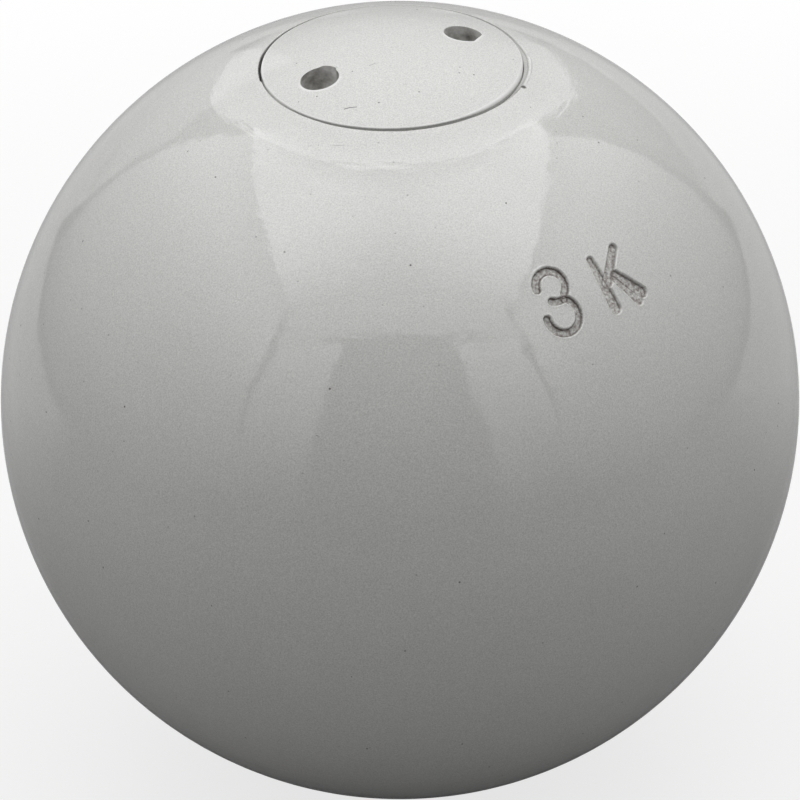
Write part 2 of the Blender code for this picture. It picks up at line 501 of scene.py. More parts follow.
def blend_colours(tree, part, one, other):
    """A colour between two others. A plain colour is given as three numbers."""
    inputs = {0: part, 6: (*one, 1.0) if isinstance(one, tuple) else one}
    inputs[7] = (*other, 1.0) if isinstance(other, tuple) else other
    return put(tree, "ShaderNodeMix", inputs, data_type="RGBA").outputs[2]


def stretched(tree, place, factors):
    """A place scaled by its own factor along each axis."""
    inputs = {"Vector": place, "Scale": factors}
    return put(tree, "ShaderNodeMapping", inputs).outputs["Vector"]


def bumped(tree, height, distance, below=None):
    """A normal that a height bends, over another one if it is given."""
    inputs = {"Height": height, "Distance": distance, "Strength": 1.0}
    if below is not None:
        inputs["Normal"] = below
    return put(tree, "ShaderNodeBump", inputs).outputs["Normal"]


def new_material(name, **plain):
    """A material with a Principled shader, and the object's own coordinates."""
    made = bpy.data.materials.new(name)
    made.use_nodes = True
    tree = made.node_tree
    shader = tree.nodes["Principled BSDF"]
    for key, value in plain.items():
        shader.inputs[key.replace("_", " ")].default_value = value
    place = tree.nodes.new("ShaderNodeTexCoord").outputs["Object"]
    return made, tree, shader, place


def connect(tree, shader, **sockets):
    """Links sockets to the shader's inputs, which are named with an underscore for a space."""
    for key, socket in sockets.items():
        tree.links.new(socket, shader.inputs[key.replace("_", " ")])


def speck_mask(tree, place, specks):
    """1 on small round specks, at places in millimetres."""
    masks = []
    for spot, across in specks:
        gap = vectors(tree, "DISTANCE", place, Vector(spot) * MM)["Value"]
        masks.append(ranged(tree, gap, across * MM * 0.35, across * MM * 0.65, 1.0, 0.0))
    return highest(tree, *masks)


def hairline_mask(tree, place, hairlines):
    """1 on thin straight scratches between places in millimetres."""
    masks = []
    for start, end, across in hairlines:
        start = Vector(start) * MM
        along = Vector(end) * MM - start
        offset = vectors(tree, "SUBTRACT", place, start)[0]
        part = vectors(tree, "DOT_PRODUCT", offset, along / along.length_squared)["Value"]
        part = put(tree, "ShaderNodeClamp", {"Value": part}).outputs[0]
        reached = vectors(tree, "SCALE", along, part)[0]
        gap = vectors(tree, "DISTANCE", offset, reached)["Value"]
        masks.append(ranged(tree, gap, across * MM * 0.3, across * MM * 0.7, 1.0, 0.0))
    return highest(tree, *masks)


def turning_marks(tree, place):
    """Faint rings round the plug's axis, left by the lathe under the enamel, that come and go."""
    radius = bpy.context.scene.shot_ball.radius
    across_rings = 1500.0
    along_rings = 190.0
    parts = put(tree, "ShaderNodeSeparateXYZ", {0: place}).outputs
    polar = sums(tree, "ARCCOSINE", sums(tree, "DIVIDE", parts["Z"], radius))
    inputs = {axis: times(tree, parts[axis], along_rings) for axis in ("X", "Y")}
    inputs["Z"] = times(tree, polar, across_rings * radius)
    rings = put(tree, "ShaderNodeCombineXYZ", inputs).outputs[0]
    return grain(tree, rings, 1.0, 1.5, 0.5)


def enamel(name, specks, hairlines, stamped=False):
    """Thick white gloss enamel with orange peel, a few specks, and grime and painted shade in the stamp."""
    finish = bpy.context.scene.shot_finish
    made, tree, shader, place = new_material(name, IOR=1.66)
    white = tuple(finish.enamel)
    cloud = ranged(tree, grain(tree, place, 130.0, 3.0), 0.0, 1.0, -0.025, 0.025)
    mist = ranged(tree, grain(tree, place, 6200.0, 1.2, 0.6), 0.0, 1.0, -finish.mist, finish.mist)
    level = sums(tree, "ADD", sums(tree, "ADD", cloud, mist), 1.0)
    tone = vectors(tree, "SCALE", white, level)[0]
    dots = put(tree, "ShaderNodeTexVoronoi", {"Vector": place, "Scale": 640.0}).outputs
    rare = put(tree, "ShaderNodeSeparateColor", {0: dots["Color"]}).outputs[0]
    pepper = ranged(tree, dots["Distance"], 0.05, 0.10, 1.0, 0.0)
    pepper = times(tree, pepper, ranged(tree, rare, 0.78, 1.0, 0.0, 0.9))
    marks = highest(tree, speck_mask(tree, place, specks), hairline_mask(tree, place, hairlines))
    marks = highest(tree, times(tree, marks, 0.9), pepper)
    tone = blend_colours(tree, marks, tone, SPECK_COLOUR)
    # The tone that the skins carry is painted light: above 0 a painted highlight, below 0 a painted shade.
    edge = put(tree, "ShaderNodeAttribute", attribute_name="painted_light_tone").outputs["Fac"]
    tone = blend_colours(tree, ranged(tree, edge, 0.0, 1.0), tone, PAINTED_HIGHLIGHT)
    tone = blend_colours(tree, ranged(tree, edge, 0.0, -1.0), tone, PAINTED_SHADE)
    gloss = grain(tree, place, 120.0, 4.0)
    roughness = ranged(tree, gloss, 0.35, 0.70, finish.enamel_roughness, finish.enamel_roughness + 0.06)
    dull = marks
    if stamped:
        mask = put(tree, "ShaderNodeAttribute", attribute_name="stamp_floor").outputs["Fac"]
        grime = ranged(tree, grain(tree, place, 2600.0, 3.0, 0.6), 0.38, 0.66)
        grime = times(tree, mask, grime)
        tone = blend_colours(tree, grime, tone, tuple(finish.stamp_floor))
        # The walls' feet get a near-black painted shade, broken up by noise, that also dulls their gloss.
        foot = put(tree, "ShaderNodeAttribute", attribute_name="stamp_foot_shade").outputs["Fac"]
        patchy = ranged(tree, grain(tree, place, 1500.0, 2.0, 0.6), 0.20, 0.44)
        foot = times(tree, foot, patchy)
        tone = blend_colours(tree, foot, tone, tuple(finish.stamp_foot_shade))
        dull = highest(tree, dull, foot, times(tree, mask, 0.5))
        roughness = highest(tree, roughness, times(tree, mask, 0.45))
    normal = bumped(tree, grain(tree, place, 95.0, 2.0), finish.orange_peel * 1.8)
    normal = bumped(tree, grain(tree, place, 430.0, 1.5, 0.5), finish.orange_peel, below=normal)
    normal = bumped(tree, turning_marks(tree, place), finish.turning, below=normal)
    mirrors = ranged(tree, dull, 0.0, 1.0, 0.5, 0.08)
    connect(tree, shader, Base_Color=tone, Roughness=roughness, Normal=normal, Specular_IOR_Level=mirrors)
    return made


def turned_metal(name, tint, stain, metallic, groove_scale, roughness):
    """Metal off the lathe: fine rings of tool marks, mottled with a stain."""
    made, tree, shader, place = new_material(name, Metallic=metallic)
    mottle = ranged(tree, grain(tree, place, 420.0, 4.0, 0.6), 0.42, 0.68)
    tone = blend_colours(tree, mottle, tint, stain)
    rings = stretched(tree, place, (6.0, 6.0, groove_scale))
    marks = grain(tree, rings, 1.0, 2.0)
    pits = grain(tree, place, 1900.0, 3.0, 0.6)
    normal = bumped(tree, marks, 0.00004)
    normal = bumped(tree, pits, 0.00002, below=normal)
    worn = ranged(tree, mottle, 0.0, 1.0, roughness, roughness + 0.18)
    connect(tree, shader, Base_Color=tone, Roughness=worn, Normal=normal)
    return made


def lead_finish():
    """Dull cast lead: a grey skin that is brighter where it has been rubbed."""
    made, tree, shader, place = new_material("cast_lead", Metallic=0.85)
    tint = tuple(bpy.context.scene.shot_finish.lead)
    bright = tuple(min(1.0, 1.7 * part) for part in tint)
    cloud = ranged(tree, grain(tree, place, 260.0, 4.0, 0.55), 0.35, 0.7)
    tone = blend_colours(tree, cloud, tint, bright)
    bloom = ranged(tree, grain(tree, place, 900.0, 3.0), 0.55, 0.72, 0.0, 0.4)
    chalky = (0.42, 0.43, 0.44)
    tone = blend_colours(tree, bloom, tone, chalky)
    scratches = grain(tree, stretched(tree, place, (300.0, 2400.0, 900.0)), 1.0, 2.0)
    normal = bumped(tree, grain(tree, place, 700.0, 3.0), 0.00008)
    normal = bumped(tree, scratches, 0.00002, below=normal)
    rubbed = ranged(tree, cloud, 0.0, 1.0, 0.62, 0.42)
    connect(tree, shader, Base_Color=tone, Roughness=rubbed, Normal=normal)
    return made


def felt_finish():
    """Pressed grey felt: short mixed fibres with a soft sheen."""
    made, tree, shader, place = new_material("wool_felt", Roughness=0.95, Sheen_Weight=0.35)
    tint = tuple(bpy.context.scene.shot_finish.felt)
    pale = tuple(1.5 * part for part in tint)
    one_way = grain(tree, stretched(tree, place, (1500.0, 5200.0, 5200.0)), 1.0, 3.0)
    other_way = grain(tree, stretched(tree, place, (5200.0, 1500.0, 5200.0)), 1.0, 3.0)
    fibres = highest(tree, one_way, other_way)
    tone = blend_colours(tree, ranged(tree, fibres, 0.45, 0.75), tint, pale)
    flecks = ranged(tree, grain(tree, place, 1300.0, 2.0), 0.62, 0.7, 0.0, 0.6)
    dark_fibre = (0.10, 0.09, 0.09)
    tone = blend_colours(tree, flecks, tone, dark_fibre)
    connect(tree, shader, Base_Color=tone, Normal=bumped(tree, fibres, 0.0002))
    return made


def beech_finish():
    """Turned beech: growth rings across the ends, and the short dark flecks of its rays."""
    made, tree, shader, place = new_material("turned_beech")
    tint = tuple(bpy.context.scene.shot_finish.beech)
    dark = tuple(0.72 * part for part in tint)
    wobble = put(tree, "ShaderNodeTexNoise", {"Vector": place, "Scale": 60.0}).outputs["Color"]
    bent = vectors(tree, "SCALE", wobble, 0.004)[0]
    moved = vectors(tree, "ADD", place, bent)[0]
    heart_of_tree = (0.034, 0.011, 0.0)
    inputs = {"Vector": moved, "Location": heart_of_tree}
    centred = put(tree, "ShaderNodeMapping", inputs).outputs["Vector"]
    inputs = {"Vector": centred, "Scale": 110.0, "Distortion": 0.6}
    rings = put(tree, "ShaderNodeTexWave", inputs, wave_type="RINGS", rings_direction="Z").outputs["Fac"]
    tone = blend_colours(tree, ranged(tree, rings, 0.2, 1.0, 0.0, 0.7), tint, dark)
    streaks = stretched(tree, place, (2600.0, 2600.0, 380.0))
    flecks = ranged(tree, grain(tree, streaks, 1.0, 1.0), 0.64, 0.72, 0.0, 0.7)
    tone = blend_colours(tree, flecks, tone, tuple(0.45 * part for part in tint))
    pores = grain(tree, stretched(tree, place, (3000.0, 3000.0, 500.0)), 1.0, 2.0)
    dry = ranged(tree, pores, 0.3, 0.7, 0.55, 0.75)
    connect(tree, shader, Base_Color=tone, Roughness=dry, Normal=bumped(tree, pores, 0.00005))
    return made


def fibre_finish():
    """Red vulcanised fibre: hard, matt, with a laminated edge."""
    made, tree, shader, place = new_material("vulcanised_fibre")
    tint = tuple(bpy.context.scene.shot_finish.fibre)
    dark = tuple(0.6 * part for part in tint)
    layers = grain(tree, stretched(tree, place, (90.0, 90.0, 9000.0)), 1.0, 3.0)
    cloud = grain(tree, place, 800.0, 3.0)
    tone = blend_colours(tree, ranged(tree, layers, 0.35, 0.7), tint, dark)
    matt = ranged(tree, cloud, 0.3, 0.7, 0.42, 0.6)
    normal = bumped(tree, cloud, 0.00003, below=bumped(tree, layers, 0.00004))
    connect(tree, shader, Base_Color=tone, Roughness=matt, Normal=normal)
    return made


def ball_enamel():
    """The ball's enamel, with grime and painted shade in the stamp."""
    return enamel("ball_enamel", BALL_SPECKS, BALL_HAIRLINES, stamped=True)


def plug_enamel():
    """The same enamel with the plug's own marks."""
    return enamel("plug_enamel", *plug_marks())


def bored_iron():
    """Bored cast iron, stained with rust."""
    tint = tuple(bpy.context.scene.shot_finish.iron)
    rust = (0.15, 0.10, 0.075)
    return turned_metal("bored_iron", tint, rust, metallic=0.7, groove_scale=2600.0, roughness=0.45)


def turned_steel():
    """Bright steel, stained with old oil."""
    tint = tuple(bpy.context.scene.shot_finish.steel)
    oil = (0.30, 0.27, 0.24)
    return turned_metal("turned_steel", tint, oil, metallic=1.0, groove_scale=4200.0, roughness=0.28)


def hole_overspray_and_shade():
    """Thin pale overspray on the walls that a drill left, mottled dark grey as painted shade in the holes.
    """
    tint = tuple(bpy.context.scene.shot_finish.hole)
    # This dark grey is painted shade in the blind holes.
    grime = (0.24, 0.23, 0.21)
    return turned_metal("hole_overspray_and_shade", tint, grime, metallic=0.0, groove_scale=1500.0, roughness=0.6)


FINISH_MAKERS = {
    "ball_enamel": ball_enamel,
    "plug_enamel": plug_enamel,
    "bored_iron": bored_iron,
    "turned_steel": turned_steel,
    "hole_overspray_and_shade": hole_overspray_and_shade,
    "cast_lead": lead_finish,
    "wool_felt": felt_finish,
    "turned_beech": beech_finish,
    "vulcanised_fibre": fibre_finish,
}


def finish_of(name):
    """A material by its name, made when it is first asked for."""
    return bpy.data.materials.get(name) or FINISH_MAKERS[name]()


# The stamp


def arc_line(centre, radius, start, end, steps=14):
    """Points on part of a circle, with angles in degrees."""
    turn = np.radians(np.linspace(start, end, steps))
    return np.stack([centre[0] + radius * np.cos(turn), centre[1] + radius * np.sin(turn)], axis=1)


def figure_three():
    """Strokes of the figure, in millimetres: points, the widths at both ends, and how deep."""
    return [
        (arc_line((-0.07, 1.93), 1.80, 178.0, -47.0, 22), 1.18, 1.06, 1.0),
        (arc_line((0.08, -1.68), 2.02, 62.0, -183.0, 24), 1.02, 1.12, 1.0),
        (np.array([(-0.66, 0.24), (-0.2, 0.05), (0.4, 0.02), (1.12, 0.12)]), 1.04, 0.96, 1.0),
    ]


def letter_k():
    """Strokes of the letter, whose leg was struck twice."""
    return [
        (np.array([(-1.74, 2.95), (-1.70, -3.15)]), 1.02, 1.66, 0.85),
        (np.array([(2.02, 3.03), (-0.2, 0.76), (-1.12, -0.18)]), 1.22, 1.42, 0.9),
        (np.array([(0.44, 0.20), (2.80, -2.86)]), 1.26, 1.56, 1.0),
        (np.array([(0.05, -0.18), (1.84, -3.56)]), 1.06, 1.36, 0.55),
    ]


def stroke_depth(places, points, first_width, last_width, wall):
    """How deep a stroke is at places in its plane, from 0 to 1, and how far outside it they are."""
    best_inside = np.full(len(places), -1e9)
    spans = np.linalg.norm(np.diff(points, axis=0), axis=1)
    reached = np.concatenate([[0.0], np.cumsum(spans)]) / spans.sum()
    for i in range(len(points) - 1):
        start = points[i]
        along = points[i + 1] - start
        part = np.clip(((places - start) @ along) / (along @ along), 0.0, 1.0)
        gap = np.linalg.norm(places - start - part[:, None] * along, axis=1)
        travelled = reached[i] + (reached[i + 1] - reached[i]) * part
        half_width = (first_width + (last_width - first_width) * travelled) / 2
        best_inside = np.maximum(best_inside, half_width - gap)
    return eased(0.0, wall, best_inside), -best_inside


def peak(values, middle, half):
    """1 at the middle, falling to 0 at half a width to each side."""
    return 1.0 - eased(0.0, half, np.abs(values - middle))


def bell(values, middle, width):
    """A soft hump, 1 at its middle."""
    return np.exp(-(((values - middle) / width) ** 2))


def stamp_relief(ball_radius, directions):
    """Height of the stamped surface at unit directions, a mask of floors, and painted shade at walls' feet.
    """
    stamp = bpy.context.scene.shot_stamp
    wall = stamp.wall / MM
    height = np.zeros(len(directions))
    floor = np.zeros(len(directions))
    foot_shade = np.zeros(len(directions))
    glyphs = [
        (figure_three(), stamp.three_azimuth, stamp.three_polar, 1.0),
        (letter_k(), stamp.letter_azimuth, stamp.letter_polar, stamp.letter_foot_shade),
    ]
    ragged = noise_at(directions, 95.0)
    coarse = noise_at(directions, 150.0)
    sharp = noise_at(directions, 330.0)
    # Each glyph's last number is its share of the painted shade at the walls' feet.
    for strokes, azimuth, polar, grime in glyphs:
        outward = sphere_points(1.0, polar, azimuth)
        east = np.array([-math.sin(azimuth), math.cos(azimuth), 0.0])
        north = np.cross(outward, east)
        straight = directions @ outward
        angle = np.arccos(np.clip(straight, -1.0, 1.0))
        sideways = directions - straight[:, None] * outward
        size = np.maximum(np.linalg.norm(sideways, axis=1), 1e-9)
        sideways *= (angle / size * ball_radius / MM)[:, None]
        places = np.stack([sideways @ east, sideways @ north], axis=1)
        places += STAMP_WANDER * np.stack([ragged, coarse], axis=1)
        for points, first_width, last_width, share_of_depth in strokes:
            depth, outside = stroke_depth(places, points, first_width, last_width, wall)
            lip = stamp.lip * bell(outside, STAMP_LIP_MIDDLE, STAMP_LIP_WIDTH) * (0.7 + 0.8 * ragged)
            cut = np.minimum(height, -stamp.depth * share_of_depth * depth)
            left_over = np.where(height < 0, height, height + lip)
            height = np.where(depth > 0, cut, left_over)
            floor = np.maximum(floor, eased(0.25, 0.85, depth))
            # A near-black painted shade at the feet of the strokes' walls.
            foot_shade = np.maximum(foot_shade, grime * peak(outside, -wall * 0.75, STAMP_FOOT_SHADE_WIDTH))
    height += stamp.grit * floor * (0.9 * coarse + 0.8 * sharp)
    # The painted shade stays only deep in the strokes.
    foot_shade *= eased(-0.30 * stamp.depth, -0.75 * stamp.depth, height)
    return height, floor, foot_shade


# The ball


# Bearing round the plug in degrees, then the groove's outer radius and depth there in millimetres,
# and how much painted shade it carries.
GROOVE_SHAPE = [
    (-170.4, 15.37, 1.05, 1.00),
    (-169.3, 15.24, 0.40, 0.25),
    (-150.0, 15.28, 0.38, 0.22),
    (-128.0, 15.30, 0.42, 0.35),
    (-108.0, 15.38, 0.48, 0.60),
    (-88.0, 15.44, 0.50, 0.66),
    (-55.0, 15.46, 0.44, 0.58),
    (-38.0, 15.56, 0.34, 0.40),
    (-18.0, 15.66, 0.20, 0.28),
    (8.0, 15.66, 0.18, 0.22),
    (22.0, 15.42, 0.22, 0.30),
    (50.0, 15.60, 0.34, 0.40),
    (120.0, 15.62, 0.40, 0.46),
    (136.0, 15.50, 0.45, 0.60),
    (140.0, 15.62, 1.00, 0.95),
    (150.0, 15.57, 1.05, 1.00),
    (163.0, 15.46, 1.05, 1.00),
    (180.0, 15.39, 1.05, 1.00),
]


def groove(angles):
    """The groove's outer radius, depth and painted shade at bearings round the plug."""
    bearings, radii, depths, shades = np.array(GROOVE_SHAPE).T
    turned = np.degrees(angles)
    radius = np.interp(turned, bearings, radii, period=360.0)
    depth = np.interp(turned, bearings, depths, period=360.0)
    return radius * MM, depth * MM, np.interp(turned, bearings, shades, period=360.0)


def window(angles, start, end, soft):
    """1 between two bearings in degrees round the plug, with soft ends."""
    middle = (start + end) / 2
    half = (end - start) / 2
    away = np.abs((np.degrees(angles) - middle + 180.0) % 360.0 - 180.0)
    return 1.0 - eased(half - soft, half + soft, away)


def wander(angles, scale, seed):
    """A smooth wobble round a ring, about -1 to 1, that meets itself."""
    places = [(math.cos(a) * scale, math.sin(a) * scale, seed) for a in angles]
    return noise_at(places, 1.0) * 1.6


class BallSkin:
    """The ball's skin, from the chamber's floor up through the mouth and round the outside."""

    LIP_COLUMNS = 480
    COLUMNS = 240
    BORE_COLUMNS = 120
    LIP_END = math.radians(24.0)
    # The plain ball's rows: the gap under the lip's last row in radians, and the steps below it.
    SEAM = 0.006
    ROW_STEP = math.radians(1.5)
    LOWER_ROWS = 62
    # The stamp's window, in rows and columns of the plain ball, and the finer patch inside it.
    WINDOW_ROWS = (13, 22)
    WINDOW_COLUMNS = (75, 94)
    STAMP_ROWS = 124
    STAMP_COLUMNS = 204
    STAMP_INSET = math.radians(0.35)

    def __init__(self):
        self.sizes = bpy.context.scene.shot_ball
        self.skin = Skin()

    def lip(self):
        """Enamel that rolls into the groove. Gives the wall's foot and the outermost row."""
        sizes = self.sizes
        angles = ring_angles(self.LIP_COLUMNS)
        radius = sizes.radius
        outer, depth, shade = groove(angles)
        outer = outer + 0.02 * MM * wander(angles, 6.0, 3.1)
        depth = depth * (1.0 + 0.08 * wander(angles, 9.0, 5.3))
        inner = np.full(self.LIP_COLUMNS, sizes.groove_inner)
        bend = np.full(self.LIP_COLUMNS, sizes.lip_round)
        slope = np.arcsin((outer + bend) / (radius - bend))
        top = (radius - bend) * np.cos(slope) + bend
        width = outer - inner
        rows = []
        profile = [(inner, np.full(self.LIP_COLUMNS, sizes.lip_depth)), (inner, depth + 0.6 * width)]
        inner_round = 0.25 * width
        for turn in np.radians((0.0, 45.0, 90.0)):
            across = inner + inner_round * (1 - math.cos(turn))
            profile.append((across, depth + inner_round * (1 - math.sin(turn))))
        outer_round = 0.45 * width
        for turn in np.radians((0.0, 22.5, 45.0, 67.5, 90.0)):
            across = outer - outer_round * (1 - math.sin(turn))
            profile.append((across, depth - outer_round * (1 - math.cos(turn))))
        # The groove's rows carry painted shade, a little less towards the lip.
        darkness = [1.0] * 7 + [0.9, 0.8, 0.6]
        for (across, down), part in zip(profile, darkness):
            rows.append(self.skin.row(ring_points(across, top - down, angles), -part * shade))
        foot = rows[0]
        back = window(angles, 25.0, 138.0, 10.0)
        for turn in np.linspace(0.0, 1.0, 7):
            lean = slope - (1.0 - turn) * (slope + math.pi / 2)
            across = outer + bend + bend * np.sin(lean)
            # The lip's roll carries painted shade as well, more of it behind the plug.
            tone = -0.5 * shade * (1.0 - turn) ** 2 - 0.4 * back * (1.0 - turn**2)
            rows.append(self.skin.row(ring_points(across, top - bend + bend * np.cos(lean), angles), tone))
        bead = window(angles, -17.0, 15.0, 6.0)
        front = window(angles, -172.0, -20.0, 12.0)
        rough = wander(angles, 30.0, 7.7)
        reach = (self.LIP_END - slope) * radius
        for part in np.linspace(0.0, 1.0, 31)[1:]:
            away = reach * part**2
            near = away / MM
            hump = bead * (0.8 + 0.9 * rough) * bell(near, 0.11, 0.10)
            raised = sizes.bead_height * hump
            raised -= 0.012 * MM * bead * (1.0 - rough) * bell(near, 0.36, 0.07)
            raised += 0.018 * MM * front * (1 + rough) * bell(near, 0.35, 0.22)
            raised *= eased(0.0, 0.08, near)
            polar = slope + away / radius
            # The bead carries a painted highlight, as strong as it is raised.
            rows.append(self.skin.row(sphere_points(radius + raised, polar, angles), 0.8 * hump))
        self.skin.sew_all(rows)
        return foot, rows[-1]

    def outside(self, top):
        """The plain ball below the lip, with a window left for the stamp."""
        angles = ring_angles(self.COLUMNS)
        radius = self.sizes.radius
        upper, lower = self.WINDOW_ROWS
        first, last = self.WINDOW_COLUMNS
        rows = []
        for i in range(lower + 1):
            polar = self.LIP_END + i * self.ROW_STEP + (0.0 if i else self.SEAM)
            points = sphere_points(radius, polar, angles)
            if upper < i < lower:
                kept = [c for c in range(self.COLUMNS) if not first < c < last]
                numbers = dict(zip(kept, self.skin.row(points[kept])))
                rows.append([numbers.get(c) for c in range(self.COLUMNS)])
            else:
                rows.append(self.skin.row(points))
        self.skin.sew(top, rows[0])
        for i in range(lower):
            for c in range(self.COLUMNS):
                if i < upper or not first <= c < last:
                    after = (c + 1) % self.COLUMNS
                    self.skin.face((rows[i][c], rows[i][after], rows[i + 1][after], rows[i + 1][c]), 0)
        rest = [rows[-1]]
        start = self.LIP_END + lower * self.ROW_STEP
        for polar in np.linspace(start, math.pi, self.LOWER_ROWS)[1:-1]:
            rest.append(self.skin.row(sphere_points(radius, polar, angles)))
        self.skin.sew_all(rest)
        self.skin.close(rest[-1], (0.0, 0.0, -radius))
        return rows

    def stamp(self, rows):
        """A fine patch in the window, with the weight punched into it. Gives its first point and masks."""
        upper, lower = self.WINDOW_ROWS
        first, last = self.WINDOW_COLUMNS
        angles = ring_angles(self.COLUMNS)
        inset = self.STAMP_INSET
        start = self.LIP_END + upper * self.ROW_STEP + inset
        end = self.LIP_END + lower * self.ROW_STEP - inset
        polar = np.linspace(start, end, self.STAMP_ROWS)
        azimuth = np.linspace(angles[first] + inset, angles[last] - inset, self.STAMP_COLUMNS)
        polar_grid, azimuth_grid = np.meshgrid(polar, azimuth, indexing="ij")
        directions = sphere_points(1.0, polar_grid.ravel(), azimuth_grid.ravel())
        height, floor, foot_shade = stamp_relief(self.sizes.radius, directions)
        numbers = self.skin.row(directions * (self.sizes.radius + height)[:, None])
        grid = np.array(numbers).reshape(self.STAMP_ROWS, self.STAMP_COLUMNS).tolist()
        for one, other in zip(grid, grid[1:]):
            self.skin.sew(one, other, closed=False)
        for around, edge in ((rows[upper], grid[0]), (rows[lower], grid[-1])):
            self.skin.sew(around[first : last + 1], edge, closed=False)
        for column, edge in ((first, 0), (last, -1)):
            around = [row[column] for row in rows[upper : lower + 1]]
            self.skin.sew(around, [row[edge] for row in grid], closed=False)
        return numbers[0], {"stamp_floor": floor, "stamp_foot_shade": foot_shade}

    def bore(self, foot):
        """Threaded bore, relief, washer shoulder and chamber, in bare iron."""
        sizes = self.sizes
        angles = ring_angles(self.BORE_COLUMNS)
        lip_foot = SHELL_BOX[1].z - sizes.lip_depth - 0.45 * MM
        relief_step = sizes.relief_radius - sizes.bore_radius
        corner = sizes.chamber_corner
        edge = 0.3 * MM
        outline = [
            (sizes.bore_radius, lip_foot),
            (sizes.bore_radius, sizes.relief_top),
            (sizes.relief_radius, sizes.relief_top - relief_step),
            (sizes.relief_radius, sizes.shoulder_height + edge),
            (sizes.relief_radius - edge, sizes.shoulder_height),
            (sizes.chamber_radius + edge / 2, sizes.shoulder_height),
            (sizes.chamber_radius, sizes.shoulder_height - edge / 2),
        ]
        for height in np.linspace(sizes.shoulder_height - edge, sizes.chamber_floor + corner, 9)[1:]:
            outline.append((sizes.chamber_radius, height))
        for turn in np.radians(np.linspace(0.0, 90.0, 6))[1:]:
            across = sizes.chamber_radius - corner + corner * math.cos(turn)
            outline.append((across, sizes.chamber_floor + corner - corner * math.sin(turn)))
        outline.append((sizes.chamber_radius / 2, sizes.chamber_floor))
        rows = [self.skin.row(ring_points(across, height, angles)) for across, height in outline]
        self.skin.sew(foot, rows[0], 1)
        self.skin.sew_all(rows, 1)
        self.skin.close(rows[-1], (0.0, 0.0, sizes.chamber_floor), 1)

    def build(self, materials):
        """The finished ball, with its exact round shading and the masks of its grime and its painted shade.
        """
        foot, top = self.lip()
        start, masks = self.stamp(self.outside(top))
        outer_count = self.skin.count
        self.bore(foot)
        mesh = self.skin.mesh("enamelled_ball", materials)
        points = self.skin.all_points()
        reach = np.linalg.norm(points, axis=1)
        soft = np.arange(len(points)) < outer_count
        hard_edges(mesh, 35.0, soft)
        plain = soft & (np.abs(reach - self.sizes.radius) < 0.0004 * MM)
        true_normals(mesh, plain, points / reach[:, None])
        for name, mask in masks.items():
            values = np.zeros(len(points), np.float32)
            values[start : start + len(mask)] = mask
            mesh.attributes.new(name, "FLOAT", "POINT").data.foreach_set("value", values)
        return add_object("enamelled_ball", mesh)


# The plug


def dome_height(across):
    """Height of the plug's domed face, flush with the ball at its rim."""
    ball = bpy.context.scene.shot_ball.radius
    plug = bpy.context.scene.shot_plug
    rim = plug.rim_radius
    flush = math.sqrt(ball**2 - rim**2)
    return flush + np.sqrt(plug.face_radius**2 - across**2) - math.sqrt(plug.face_radius**2 - rim**2)


def plug_marks():
    """The plug's specks and hairlines, with their heights on its face."""

    def placed(spot):
        return (*spot, float(dome_height(math.hypot(*spot) * MM)) / MM)

    specks = [(placed(spot), across) for spot, across in PLUG_SPECKS]
    hairlines = [(placed(start), placed(end), across) for start, end, across in PLUG_HAIRLINES]
    return specks, hairlines


